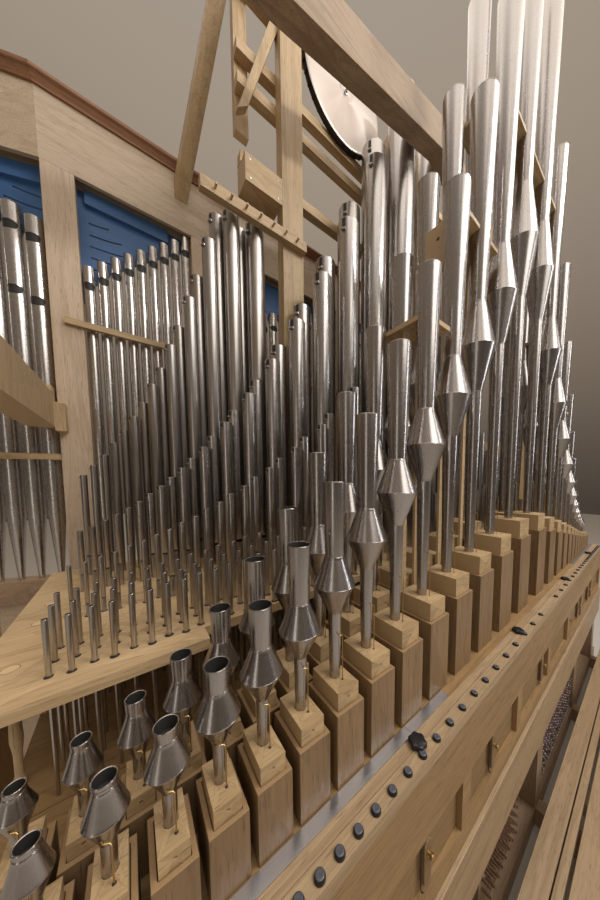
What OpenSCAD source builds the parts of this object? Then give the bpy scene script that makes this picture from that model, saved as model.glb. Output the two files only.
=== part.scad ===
// Pipe organ seen from the tuner's walkway: chest, reed rank on wooden boots,
// racked flue ranks, timber frame and the case front with its own pipes.
// X runs along the chest, the case front faces -Y, the walkway is on the +Y side.
// "Back distance" below is measured from the walkway face of the chest towards the front.

/* [Compass] */
// Notes on each side of the middle
keys = 28; // [20:1:30]
// Distance of the highest note from the middle of the chest
treble_x = 1551; // [1300:1:1700]
// Distance of the lowest note from the middle of the chest
middle_x = 128; // [110:1:200]
// Pitch of the note channels at the treble end
treble_pitch = 29; // [27:0.5:32]
// How late the pitch opens towards the bass
spread_power = 3.5; // [2:0.1:5]

/* [Wind chest] */
// Height of the chest top above the floor
chest_top = 1040; // [900:5:1200]
// Height of the chest box under its toe boards
chest_box = 339; // [250:1:400]
// Length of the chest past its last note
chest_margin = 69; // [50:1:120]
// Depth of the chest from walkway face to front edge
chest_depth = 1090; // [1080:5:1200]
// Thickness of chest walls and toe boards
chest_board = 25; // [18:1:35]
// Number of panelled bays in the chest face
bays = 8; // [4:2:12]
// Width of the stiles between the chest panels
stile_width = 45; // [30:1:70]
// Depth the chest panels lie behind the face
panel_recess = 14; // [6:1:18]
// Width of the knob rail
rail_width = 49; // [40:1:60]
// Height of the apron board below the chest
apron_height = 190; // [150:1:320]

/* [Slider knobs and strip] */
// Diameter of a slider knob
knob_d = 18; // [12:0.5:24]
// Height of a slider knob
knob_h = 20; // [12:0.5:28]
// Width of the steel strip beside the boots
strip_width = 21; // [12:0.5:30]
// Thickness of the steel strip
strip_thick = 3; // [1.5:0.5:5]

/* [Reed boots] */
// Width of the smallest boot
boot_w = 47; // [40:0.5:50]
// Extra width of the largest boot
boot_w_gain = 83; // [50:1:95]
// Depth of the smallest boot
boot_d = 78; // [60:1:90]
// Extra depth of the largest boot
boot_d_gain = 60; // [30:1:70]
// Height of the smallest boot
boot_h = 90; // [70:1:120]
// Extra height of the largest boot
boot_h_gain = 225; // [120:1:260]
// Wall thickness of a boot
boot_wall = 7; // [5:0.5:9]
// Rise of the smallest head block above its boot
head_rise = 22; // [15:0.5:30]
// Extra rise of the largest head block
head_rise_gain = 50; // [20:1:60]
// Depth of the rebate that carries the head block
head_seat = 14; // [8:1:20]
// Clear space round a head block inside the boot rim
head_gap = 1; // [0.5:0.1:1.5]
// Space between the two rows of boots
row_gap = 14; // [8:1:30]

/* [Reed resonators] */
// Length of the longest resonator above its head block
reed_longest = 2400; // [1800:10:2500]
// Length ratio from one note to the next on one side
reed_ratio = 1.14; // [1.1:0.005:1.16]
// Diameter of the smallest double cone
cone_d = 51; // [44:0.5:54]
// Extra diameter of the largest double cone
cone_d_gain = 70; // [40:1:80]
// Cylinder diameter as a share of the cone diameter
tube_share = 0.48; // [0.4:0.01:0.55]
// Stem diameter as a share of the cone diameter
stem_share = 0.27; // [0.22:0.01:0.32]
// Height of one cone of the shortest pipe
cone_h = 24; // [18:0.5:30]
// Growth of the cone height with pipe length
cone_h_growth = 0.08; // [0.05:0.005:0.1]
// Height of the widest ring as a share of the length
ring_share = 0.47; // [0.42:0.01:0.52]
// Metal thickness of the resonators
reed_wall = 1.2; // [0.8:0.1:2]

/* [Racks and flue ranks] */
// Height of the rack boards above the chest top
rack_height = 224; // [180:1:260]
// Thickness of a rack board
rack_board = 22; // [16:1:28]
// Foot length of a pipe above its rack board
foot_above = 78; // [60:1:110]
// Metal thickness of the flue pipes
flue_wall = 1.2; // [0.8:0.1:2]
// Radius of a pipe foot where it stands on the toe board
toe_r = 5; // [4:0.5:8]
// Clear space round a pipe foot in its rack hole
rack_gap = 2; // [0.5:0.1:3]
// Smallest share of the diameter by which a row is staggered
stagger = 0.4; // [0.2:0.01:0.45]
// Clear space kept between two pipes of one row
pipe_gap = 4; // [2:0.5:8]
// Diameter of the turned rack pillars
pillar_d = 18; // [14:0.5:24]

/* [Timber frame] */
// Side of the square frame posts
post = 90; // [70:1:110]
// Height of the floor sills
sill_h = 90; // [60:1:120]
// Distance of the second floor frames from the middle one
frame_bay = 820; // [700:5:900]
// Width of the inner posts that carry the stays
inner_post_w = 112; // [80:1:130]
// Depth of the inner posts
inner_post_d = 56; // [40:1:60]
// Top of the inner posts above the floor
inner_top = 3760; // [3600:10:3900]
// Height of the raking beams
rake_h = 160; // [100:5:180]
// Slope of the raking beams in degrees
rake_slope = 14; // [8:0.5:20]
// Underside of the raking beams at the middle, above the floor
rake_apex = 3420; // [3300:10:3600]

/* [Case front] */
// Back distance of the inner face of the case front
front_d = 1443; // [1400:1:1600]
// Width of the posts between the bays
front_post_w = 106; // [80:1:120]
// Depth of the posts between the bays
front_post_d = 80; // [70:1:100]
// Spacing of the posts of the narrow bays
front_pitch = 569; // [540:1:600]
// Width of the end bays
end_bay = 300; // [240:5:340]
// Angle in degrees by which the end bays swing forward
end_turn = 20; // [0:1:30]
// Underside of the plywood panel above the floor
panel_low = 2960; // [2900:5:3050]
// Top of the cornice above the floor
front_top = 3285; // [3200:5:3400]
// Top of the impost the front pipes stand on
impost_top = 1140; // [1000:5:1300]
// Diameter of the smallest front pipe
front_pipe_d = 42; // [36:0.5:44]
// Top of the shortest front pipe above the floor
front_low_top = 2600; // [2500:5:2605]
// Rise from one front pipe to the next
front_step = 44; // [30:1:44]

/* [Hidden] */
$fn = 72;
last = keys - 1;
chest_half = treble_x + chest_margin;
box_z = chest_top - chest_board - chest_box;
toe_z = chest_top;
rack_z = chest_top + rack_height;
foot_total = rack_height + foot_above;
strip_d = rail_width + 1;
boot_face = strip_d + strip_width + 3;

function u(k) = k / last;
function key_x(k) = treble_x - treble_pitch * k
  - (treble_x - middle_x - treble_pitch * last) * pow(u(k), spread_power);
function side(v) = v % 2 == 0 ? 1 : -1;

// Reed rank laws
function bw(k) = boot_w + boot_w_gain * pow(u(k), 2);
function bd(k) = boot_d + boot_d_gain * pow(u(k), 1.5);
function bh(k) = boot_h + boot_h_gain * pow(u(k), 2);
function rise(k) = head_rise + head_rise_gain * pow(u(k), 2);
function is_front(k) = k % 2 == 1;
function boot_mid(k) = is_front(k) ? boot_face + bd(k) / 2 : boot_face + row_gap + bd(k) * 1.5;
function reed_len(k) = reed_longest * pow(reed_ratio, k - last);
function cone(k) = cone_d + cone_d_gain * pow(u(k), 1.2);
function cone_rise(k) = cone_h + cone_h_growth * reed_len(k);
function ring_z(k) = ring_share * reed_len(k) + 6;
function stem_r(k) = cone(k) * stem_share / 2;
stem_sink = 12;
stem_gap = 0.3;

// Flue rank laws: diameter, and the stagger that keeps neighbours clear of each other
function pipe_d(w, halving, k) = w * pow(2, (k - last) / halving);
function apart(w, halving, k) = sqrt(max(0, pow((pipe_d(w, halving, k) + pipe_d(w, halving, k + 1)) / 2
  + pipe_gap, 2) - pow(key_x(k) - key_x(k + 1), 2))) / 2;
function zig(w, halving, k) = side(k) * max(stagger * pipe_d(w, halving, k), apart(w, halving, k - 1),
  apart(w, halving, k));

// Derived places of the frame
apron_out = 10;
apron_in = 12;
bearer_z = box_z - post;
frame_x = [-chest_half + post / 2, -frame_bay, 0, frame_bay, chest_half - post / 2];
rail_joint = 965;
strip_end = 805;
strip_short = 40;
groove_d = 28;
groove_w = 2;
knob_back = 12;
knob_pin = 16;
knob_pin_d = 6;
pin_gap = 0.2;
wind_hole = 16;
reed_board_end = 366;
plank = [reed_board_end, 530, 684, 892, chest_depth];
plank_gap = 2;
bay_pitch = (2 * chest_half - stile_width) / bays;
bay_open = bay_pitch - stile_width;
panel_z = box_z + 52;
panel_h = 134;
panel_gap = 1;
pocket = chest_board - 1;
boot_in = boot_wall + 4;
screw_hole = 5;
screw_depth = 12;
ring_edge = 0.8;
stay_set = [[last - 8, last - 7, 2005], [last - 5, last - 3, 2370]];
stay_mid = [last - 2, last, 2940];
stay_t = 12;
stay_over = 26;
stay_lip = 12;
stay_leg = 20;
stay_leg_t = 8;
block_d = 88;
block_h = 130;
block_t = 24;
block_hole = 11;
stay_fit = 0.2;
rack_outer_d = 323;
rack_inner_d = 375;
rack_seam = 689;
rack_end = 1088;
rack_step_x = key_x(8) - 3;
rack_half = chest_half + 40;
row_shift = 40;
mixture_back = [379, 428, 477];
mixture_d = 25;
mixture_slope = 18;
mixture_body = [200, 240, 290];
octave_back = 615;
octave_d = 88;
octave_body = 1200;
principal_back = 812;
principal_d = 150;
principal_body = 2400;
double_back = 977;
double_d = 190;
double_body = 6240;
double_hold = 1390;
double_first = 10;
pillar_cut = 3;
pillar_foot = 12;
pillar_curve = 9;
pillar_bead = 90;
pillar_set = [for (x = [-chest_half + 10, 0, chest_half - 10], b = [450, 640, 760, 1040]) [x, b]];
inner_side = key_x(last - 7) + 11;
inner_x = [-inner_side, 0, inner_side];
inner_back = 895;
rail_back = inner_back + inner_post_d;
ledge_x = inner_side + inner_post_w / 2;
ledge_w = 172;
ledge_z = [2868, 2979];
hanger_x = 930;
hanger_w = 60;
hanger_z = [3150, 3960];
rail_reach = hanger_x + hanger_w;
rail_run = [[2990, ledge_x + ledge_w], [3300, rail_reach], [3430, rail_reach], [3700, 1060]];
rail_h = 44;
rail_t = 40;
lath_top = rail_run[3];
lath_w = 60;
lath_out = 40;
brace_t = 34;
peg_rail_x = inner_side + 412;
peg_rail_z = 2700;
peg_rail_t = 30;
peg_rail_h = 44;
peg_step = 60;
peg_count = 7;
peg_d = 9;
peg_len = 22;
tie_in = chest_half + 52;
tie_z = 1830;
tie_h = 150;
tie_drop = 15;
tie_block = [36, 50, 123];
tie_cleat = [50, 62, 26];
rake_back = 580;
rake_inset = 5;
end_top = rake_apex - tan(rake_slope) * tie_in;
disc_x = 408;
disc_t = 8;
disc_z = 3709;
disc_r = 262;
disc_edge = 2;
disc_bevel = 14;
disc_hub = 60;
disc_rim_t = 30;
rib_count = 36;
rib_w = 6;
rib_sink = 2;
lath_foot = 1110;
lath_foot_z = 3110;
brace_outline = [[0, 3739], [0, 3619], [146, 3190], [190, 3150]];
walk_z = 312;
walk_t = 40;
walk_kerb = 56;
walk_out = 450;
kerb_w = 61;
walk_lath = 24;
walk_joint = [4, 10];
lath_edge = walk_kerb + kerb_w + walk_joint[0];
bracket_w = 60;
bracket_h = 80;
bearer_top = walk_z - walk_t - bracket_w;
pin_panel_b = 30;
rod_x0 = 300;
rod_z0 = 210;
rod_step = 36;
rod_d = 9;
rod_rows = [8, 5];
rod_edge = 25;
rod_inset = 30;
rod_start = 20;
rod_board = 18;
front_side = tie_in - 6;
front_outer_x = front_side - front_post_w / 2;
front_x = [-front_outer_x, front_pitch - front_outer_x, 0, front_outer_x - front_pitch, front_outer_x];
end_post_w = 70;
end_len = end_bay + end_post_w;
cornice_in = 34;
cornice_out = 50;
mitre_gap = 0.1;
impost_h = 100;
ply = 18;
cornice_h = 45;
front_foot = 300;
front_wall = 1.5;
front_tip = 10;
pipe_share = 0.42;
slot_h = 42;
slot_low = [68, 80, 70, 330];
narrow_count = 9;
narrow_pitch = (front_pitch - front_post_w) / narrow_count;
wide_count = 13;
wide_pitch = (front_x[3] - front_post_w) / wide_count;
end_count = 4;
end_lean = front_post_d * tan(end_turn) / 2;
end_pitch = (end_bay - end_lean) / end_count;
end_low_top = 2730;
end_step = 35;
wide_step = 28;
pipe_axis = front_d + 36;
shade_t = 12;
batten_t = 20;
batten_h = 62;
shade_back = front_d + front_post_d - shade_t;
panel_in = 30;
panel_t = 20;
shade_horn = [26, 70];
shade_drop = [440, 400];
end_shade_drop = [310, 105];
batten_run = [26, 356];
slot_count = 6;
slot_at = [34, 44];
slot_step = 52;
slot_w = 8;
rail_t2 = 18;
front_rail_z = 2300;
end_rail_z = 1690;
rail_bar = 26;
rail_lap = 10;
rail_meet = 30;
y0 = (front_d + end_len * sin(end_turn) + (front_post_d + cornice_out) * cos(end_turn) - walk_out) / 2;

function bay_x(i) = (i - (bays - 1) / 2) * bay_pitch;
function foot_r(r) = min(toe_r, 0.6 * r) + (r - min(toe_r, 0.6 * r)) * rack_height / foot_total;
function gap_mid(k) = boot_face + bd(k) + row_gap / 2;

module place(x, back, z) {
  translate([x, y0 - back, z])
    children();
}

// A board given by its x range, back distances and heights
module board(x0, x1, b0, b1, z0, z1) {
  translate([min(x0, x1), y0 - max(b0, b1), z0])
    cube([abs(x1 - x0), abs(b1 - b0), z1 - z0]);
}

// Sills along the chest and under the case front
module long_sills() {
  color("peru")
    union() {
      board(-tie_in - post, tie_in + post, apron_in, apron_in + post, 0, sill_h);
      board(-tie_in, tie_in, chest_depth - post, chest_depth, 0, sill_h);
      board(-tie_in - post, tie_in + post, front_d - post, front_d, 0, sill_h);
      board(-front_side, front_side, front_d, front_d + front_post_d, 0, sill_h);
    }
}

// Sills across the chest, the outer pair reaching to the case front
module cross_sills() {
  color("sandybrown")
    union() {
      for (x = frame_x)
        board(x - post / 2, x + post / 2, apron_in + post, chest_depth - post, 0, sill_h);
      for (s = [-1, 1])
        board(s * tie_in, s * (tie_in + post), apron_in + post, front_d - post, 0, sill_h);
    }
}

// Short posts from the sills to the cross bearers
module low_posts() {
  color("peru")
    for (x = frame_x)
      for (b = [apron_in, chest_depth - post])
        board(x - post / 2, x + post / 2, b, b + post, sill_h, bearer_z);
}

// Cross bearers the chest rests on
module bearers() {
  color("burlywood")
    for (x = frame_x)
      board(x - post / 2, x + post / 2, apron_in, chest_depth, bearer_z, box_z);
}

// Sleepers, legs and cross pieces that carry the walk boards
module walk_brackets() {
  color("peru")
    for (x = frame_x)
      union() {
        board(x - bracket_w / 2, x + bracket_w / 2, apron_in, -walk_out, 0, bracket_h);
        board(x - bracket_w / 2, x + bracket_w / 2, -walk_kerb, -walk_out, bearer_top, walk_z - walk_t);
        for (b = [-walk_kerb, -walk_out + bracket_w])
          board(x - bracket_w / 2, x + bracket_w / 2, b, b - bracket_w, bracket_h, bearer_top);
      }
}

// Chest box, open inside, with pockets for the panels in its walkway face
module chest() {
  color("peru")
    difference() {
      board(-chest_half, chest_half, 0, chest_depth, box_z, toe_z - chest_board);
      for (s = [-1, 1])
        board(s * chest_board / 2, s * (chest_half - chest_board), chest_board, chest_depth - chest_board,
          box_z + chest_board, toe_z - chest_board + 1);
      for (i = [0:bays - 1])
        board(bay_x(i) - bay_open / 2, bay_x(i) + bay_open / 2, -1, pocket, panel_z, panel_z + panel_h);
    }
}

// Removable panels that close the pockets
module chest_panels() {
  color("sandybrown")
    for (i = [0:bays - 1])
      board(bay_x(i) - bay_open / 2 + panel_gap, bay_x(i) + bay_open / 2 - panel_gap, panel_recess, pocket,
        panel_z, panel_z + panel_h - panel_gap);
}

// Board that hangs below the chest face
module apron() {
  color("tan")
    board(-chest_half, chest_half, -apron_out, apron_in, box_z - apron_height, box_z);
}

// Wooden rail that carries the slider knobs, in three lengths, with a groove along it
module knob_rail() {
  color("wheat")
    difference() {
      union() {
        board(-rail_joint + 0.2, rail_joint - 0.2, 0, rail_width, toe_z - chest_board, toe_z);
        for (s = [-1, 1])
          board(s * rail_joint, s * chest_half, 0, rail_width, toe_z - chest_board, toe_z);
      }
      board(-chest_half - 1, chest_half + 1, groove_d, groove_d + groove_w, toe_z - groove_w, toe_z + 1);
      for (s = [-1, 1])
        for (k = [0:last])
          place(s * key_x(k), knob_back, toe_z - knob_pin - 1)
            cylinder(d = knob_pin_d + 2 * pin_gap, h = knob_pin + 2);
    }
}

// Black turned knobs, one for each note
module knobs() {
  color("black")
    for (s = [-1, 1])
      for (k = [0:last])
        place(s * key_x(k), knob_back, toe_z)
          rotate_extrude()
            polygon([[0, -knob_pin], [knob_pin_d / 2, -knob_pin], [knob_pin_d / 2, 0], [knob_d / 2 - 1, 0],
              [knob_d / 2, 1.5], [knob_d / 2, knob_h - 2], [knob_d / 2 - 2, knob_h], [0, knob_h]]);
}

// Steel strip in two lengths on each side
module strips() {
  color("lightsteelblue")
    for (s = [-1, 1]) {
      board(s * rail_joint, s * (chest_half - strip_short), strip_d, strip_d + strip_width,
        toe_z, toe_z + strip_thick);
      board(s * strip_end, s * (rail_joint - 1), strip_d, strip_d + strip_width,
        toe_z, toe_z + strip_thick);
    }
}

// Toe boards: one bored for the reed rank, four planks under the flue ranks
module toe_boards() {
  color("peru")
    union() {
      difference() {
        board(-chest_half, chest_half, rail_width, reed_board_end, toe_z - chest_board, toe_z);
        for (s = [-1, 1])
          for (k = [0:last])
            place(s * key_x(k), boot_mid(k), toe_z - chest_board - 1)
              cylinder(d = wind_hole, h = chest_board + 2);
      }
      for (i = [0:3])
        board(-chest_half, chest_half, plank[i] + plank_gap, plank[i + 1], toe_z - chest_board, toe_z);
    }
}

// One wooden boot: open box with a rebate near the top for its head block
module boot(k) {
  w = bw(k);
  d = bd(k);
  h = bh(k);
  difference() {
    translate([-w / 2, -d / 2, 0])
      cube([w, d, h]);
    translate([-w / 2 + boot_wall, -d / 2 + boot_wall, h - head_seat])
      cube([w - 2 * boot_wall, d - 2 * boot_wall, head_seat + 1]);
    translate([-w / 2 + boot_in, -d / 2 + boot_in, boot_wall])
      cube([w - 2 * boot_in, d - 2 * boot_in, h]);
    translate([0, 0, -1])
      cylinder(d = wind_hole, h = boot_wall + 2);
  }
}

// One head block: seated in the rebate, with the stem socket on top and a screw hole in its face
module head(k) {
  w = bw(k) - 2 * (boot_wall + head_gap);
  d = bd(k) - 2 * (boot_wall + head_gap);
  h = head_seat + rise(k);
  difference() {
    translate([-w / 2, -d / 2, 0])
      cube([w, d, h]);
    translate([0, 0, h - stem_sink])
      cylinder(r = stem_r(k) + stem_gap, h = stem_sink + 1);
    translate([0, d / 2 + 1, h - rise(k) / 2])
      rotate([90, 0, 0])
        cylinder(d = screw_hole, h = screw_depth + 1);
  }
}

module boots(front) {
  color(front ? "peru" : "sandybrown")
    for (s = [-1, 1])
      for (k = [0:last])
        if (is_front(k) == front)
          place(s * key_x(k), boot_mid(k), toe_z)
            boot(k);
}

module heads(front) {
  color("burlywood")
    for (s = [-1, 1])
      for (k = [0:last])
        if (is_front(k) == front)
          place(s * key_x(k), boot_mid(k), toe_z + bh(k) - head_seat)
            head(k);
}

// One reed resonator: slender stem, two cones set base to base, cylinder on top
module resonator(k) {
  len = reed_len(k);
  rs = stem_r(k);
  rc = cone(k) / 2;
  rt = rc * tube_share;
  mid = ring_z(k);
  low = max(mid - cone_rise(k), 4);
  high = min(mid + cone_rise(k), len - 8);
  w = reed_wall;
  rotate_extrude()
    polygon([[rs - w, -stem_sink], [rs, -stem_sink], [rs, low], [rc, mid - ring_edge], [rc, mid + ring_edge],
      [rt, high], [rt, len], [rt - w, len], [rt - w, high], [rc - w, mid], [rs - w, low]]);
}

module resonators(front) {
  color("silver")
    for (s = [-1, 1])
      for (k = [0:last])
        if (is_front(k) == front)
          place(s * key_x(k), boot_mid(k), toe_z + bh(k) + rise(k))
            resonator(k);
}

// Scalloped stay boards that steady the tall resonators, and one that runs across the middle
module stays() {
  color("wheat")
    union() {
      for (s = [-1, 1])
        for (t = stay_set)
          union() {
            stay_board(t, s * (key_x(t[1]) - stay_over), s * (key_x(t[0]) + stay_over), [s]);
            stay_legs(t, s);
          }
      union() {
        stay_board(stay_mid, -key_x(stay_mid[0]) - stay_over, key_x(stay_mid[0]) + stay_over, [-1, 1]);
        for (s = [-1, 1])
          stay_legs(stay_mid, s);
      }
      for (s = [-1, 1])
        stay_block(stay_set[1], s);
    }
}

// The board of one stay, notched for the cylinders of notes t[0] to t[1]
module stay_board(t, x0, x1, sides) {
  difference() {
    board(x0, x1, boot_mid(t[1] - 1 + t[1] % 2) - stay_lip, boot_mid(t[0] + t[0] % 2) + stay_lip,
      t[2], t[2] + stay_t);
    for (s = sides)
      for (k = [t[0]:t[1]])
        place(s * key_x(k), boot_mid(k), t[2] - 1)
          cylinder(r = cone(k) * tube_share / 2 + stay_fit, h = stay_t + 2);
  }
}

// Thin uprights that stand between the two rows of boots
module stay_legs(t, s) {
  for (k = [t[0], t[1]])
    board(s * key_x(k) - stay_leg / 2, s * key_x(k) + stay_leg / 2, gap_mid(k) - stay_leg_t / 2,
      gap_mid(k) + stay_leg_t / 2, toe_z, t[2]);
}

// Bored block on the outer end of a stay
module stay_block(t, s) {
  x = key_x(t[0]) + stay_over;
  b = gap_mid(t[0]);
  top = t[2] + stay_t;
  difference() {
    board(s * x, s * (x + block_t), b - block_d / 2, b + block_d / 2, top - block_h, top);
    place(s * x - 1, b, top - block_h / 3)
      rotate([0, s * 90, 0])
        cylinder(d = block_hole, h = block_t + 2);
  }
}

// Rack board over the mixture and octave rows, set back at its middle for the large boots
module rack_front() {
  color("wheat")
    difference() {
      union() {
        board(-rack_step_x, rack_step_x, rack_inner_d, rack_seam, rack_z - rack_board, rack_z);
        for (s = [-1, 1])
          board(s * rack_step_x, s * rack_half, rack_outer_d, rack_seam, rack_z - rack_board, rack_z);
      }
      for (m = [0:2])
        rack_holes(mixture_back[m], mixture_d, mixture_slope, 0);
      rack_holes(octave_back, octave_d, 8, 0);
    }
}

// Rack board over the principal and double rows
module rack_back() {
  color("burlywood")
    difference() {
      board(-rack_half, rack_half, rack_seam + plank_gap, rack_end, rack_z - rack_board, rack_z);
      rack_holes(principal_back, principal_d, 8, 0);
      rack_holes(double_back, double_d, 8, double_first);
      for (x = inner_x)
        board(x - inner_post_w / 2 - rack_gap, x + inner_post_w / 2 + rack_gap, inner_back - rack_gap,
          inner_back + inner_post_d + rack_gap, rack_z - rack_board - 1, rack_z + 1);
    }
}

// Round holes for one row of pipe feet
module rack_holes(back, widest, halving, skip) {
  for (s = [-1, 1])
    for (k = [0:last - skip])
      place(s * key_x(k), back + (halving == 8 ? 0 : row_shift * u(k)) + zig(widest, halving, k),
        rack_z - rack_board - 1)
        cylinder(r = foot_r(pipe_d(widest, halving, k) / 2) + rack_gap, h = rack_board + 2);
}

// Turned pillars between the toe boards and the rack boards
module rack_pillars() {
  full = pillar_d / 2;
  neck = full - pillar_cut;
  h = rack_height - rack_board;
  color("tan")
    for (p = pillar_set)
      place(p[0], p[1], toe_z)
        rotate_extrude()
          polygon([[0, 0], [full, 0], [full, pillar_foot], [neck, pillar_foot + pillar_curve],
            [neck, pillar_bead - 3 * pillar_curve], [full, pillar_bead],
            [neck, h - pillar_foot - pillar_curve], [full, h - pillar_foot], [full, h], [0, h]]);
}

// Metal flue pipe: foot cone, languid plate at the mouth line and open body
module flue_pipe(r, body) {
  tip = min(toe_r, 0.6 * r);
  w = min(flue_wall, 0.25 * r);
  rotate_extrude()
    polygon([[tip - w, 0], [tip, 0], [r, foot_total], [r, foot_total + body], [r - w, foot_total + body],
      [r - w, foot_total + w], [0, foot_total + w], [0, foot_total], [r - w, foot_total]]);
}

// The mouth is cut on the walkway side
module mouthed_pipe(r, body) {
  difference() {
    flue_pipe(r, body);
    translate([-0.62 * r, 0.45 * r, foot_total + flue_wall])
      cube([1.24 * r, r, 0.42 * r]);
  }
}

// Three mixture rows, plain because their mouths are only a few millimetres wide
module mixture_rows() {
  color("silver")
    for (m = [0:2])
      for (s = [-1, 1])
        for (k = [0:last])
          place(s * key_x(k), mixture_back[m] + row_shift * u(k) + zig(mixture_d, mixture_slope, k), toe_z)
            flue_pipe(pipe_d(mixture_d, mixture_slope, k) / 2, mixture_body[m] * pow(2, (k - last) / 9));
}

// One row of mouthed pipes, none of them longer than the hold length
module flue_row(back, widest, longest, skip, hold) {
  for (s = [-1, 1])
    for (k = [0:last - skip])
      place(s * key_x(k), back + zig(widest, 8, k), toe_z)
        mouthed_pipe(pipe_d(widest, 8, k) / 2, min(hold, longest * pow(2, (k - last) / 6)));
}

module octave_row() {
  color("silver")
    flue_row(octave_back, octave_d, octave_body, 0, octave_body);
}

module principal_row() {
  color("silver")
    flue_row(principal_back, principal_d, principal_body, 0, principal_body);
}

module double_row() {
  color("silver")
    flue_row(double_back, double_d, double_body, double_first, double_hold);
}

// Timber posts that stand on the toe boards behind the pipes
module inner_posts() {
  color("burlywood")
    for (x = inner_x)
      board(x - inner_post_w / 2, x + inner_post_w / 2, inner_back, inner_back + inner_post_d,
        toe_z, inner_top);
}

// Rails that tie the inner posts, pegged rails beside them, and rails that hold the front pipes
module rails() {
  color("wheat")
    union() {
      for (r = rail_run)
        board(-r[1], r[1], rail_back, rail_back + rail_t, r[0], r[0] + rail_h);
      for (s = [-1, 1]) {
        union() {
          board(s * (inner_side - inner_post_w / 2), s * peg_rail_x, inner_back - peg_rail_t, inner_back,
            peg_rail_z, peg_rail_z + peg_rail_h);
          for (i = [0:peg_count - 1])
            place(s * (inner_side + peg_step * i), inner_back - peg_rail_t, peg_rail_z + peg_rail_h / 2)
              rotate([-90, 0, 0])
                cylinder(d = peg_d, h = peg_len);
        }
        board(s * ledge_x, s * (ledge_x + ledge_w), inner_back, rail_back + rail_t, ledge_z[0], ledge_z[1]);
        board(s * (front_outer_x + rail_lap), s * (front_x[3] - rail_meet), front_d - rail_t2, front_d,
          front_rail_z, front_rail_z + rail_bar);
        board(s * (front_x[3] - rail_meet - rail_lap), s * plank_gap, front_d - rail_t2, front_d,
          front_rail_z, front_rail_z + rail_bar);
        at_end(s)
          translate([0, 0, end_rail_z])
            cube([end_bay + rail_meet, rail_t2, rail_bar]);
      }
    }
}

// End posts outside the chest ends, with level ties back to the case front
module end_frames() {
  color("burlywood")
    for (s = [-1, 1])
      union() {
        board(s * tie_in, s * (tie_in + post), rake_back - rake_inset, rake_back + post - rake_inset,
          sill_h, end_top);
        board(s * tie_in, s * (tie_in + post), rake_back + post - rake_inset, front_d, tie_z, tie_z + tie_h);
        board(s * (tie_in - tie_block[0]), s * tie_in, front_d - tie_block[1], front_d,
          tie_z - tie_drop, tie_z - tie_drop + tie_block[2]);
        board(s * tie_in, s * (tie_in + tie_cleat[0]), front_d - tie_cleat[1], front_d,
          tie_z + tie_h, tie_z + tie_h + tie_cleat[2]);
      }
}

// Two raking beams that rise from the end posts and meet over the middle
module raking_beams() {
  color("burlywood")
    for (s = [0, 1])
      mirror([s, 0, 0])
        translate([0, y0 - rake_back, 0])
          rotate([90, 0, 0])
            linear_extrude(height = post - 2 * rake_inset)
              polygon([[mitre_gap, rake_apex], [tie_in, end_top], [tie_in + post, end_top],
                [tie_in + post, end_top + rake_h], [mitre_gap, rake_apex + rake_h]]);
}

// Braces and hangers lapped on the rails, and leaning laths from the top rail down to the case front
module braces() {
  color("tan")
    for (s = [0, 1])
      mirror([s, 0, 0]) {
        translate([ledge_x, y0 - rail_back, 0])
          rotate([90, 0, 0])
            mirror([0, 0, 1])
              linear_extrude(height = brace_t)
                polygon(brace_outline);
        board(hanger_x, hanger_x + hanger_w, rail_back + rail_t, rail_back + rail_t + brace_t,
          hanger_z[0], hanger_z[1]);
        hull() {
          board(lath_top[1] - lath_w, lath_top[1], rail_back + rail_t, rail_back + rail_t + 1,
            lath_top[0], lath_top[0] + rail_h);
          board(lath_foot, lath_foot + lath_w, front_d - 1, front_d,
            lath_foot_z, front_top - cornice_h - lath_out);
        }
      }
}

// Round metal plate high up behind the pipes
module disc() {
  color("gainsboro")
    place(disc_x, rail_back - disc_rim_t, disc_z)
      rotate([-90, 0, 0])
        rotate_extrude()
          polygon([[0, 0], [disc_r, 0], [disc_r, disc_edge], [disc_r - disc_bevel, 2.5 * disc_edge],
            [disc_hub, disc_t], [0, disc_t]]);
}

// Black ribbed backing wheel between the plate and the rails
module disc_rim() {
  color("black")
    place(disc_x, rail_back, disc_z)
      rotate([90, 0, 0])
        mirror([0, 0, 1])
          union() {
            cylinder(r = disc_r - rib_w, h = disc_rim_t);
            for (i = [0:rib_count - 1])
              rotate([0, 0, 360 / rib_count * i])
                translate([disc_r - rib_w - rib_sink, -rib_w / 2, rib_sink])
                  cube([rib_w + rib_sink, rib_w, disc_rim_t - 2 * rib_sink]);
          }
}

// Walking plank, edge lath and kerb in front of the chest
module walk_plank() {
  color("tan")
    for (r = [[walk_kerb, lath_edge - walk_joint[0]], [lath_edge, lath_edge + walk_lath],
        [lath_edge + walk_lath + walk_joint[1], walk_out]])
      board(-chest_half, chest_half, -r[0], -r[1], walk_z - walk_t, walk_z);
}

// Dark panel between the middle frame and the next one, under the chest
module pin_panel() {
  color("maroon")
    board(frame_x[1] + post / 2, frame_x[2] - post / 2, pin_panel_b, pin_panel_b + panel_t, sill_h, bearer_z);
}

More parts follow.
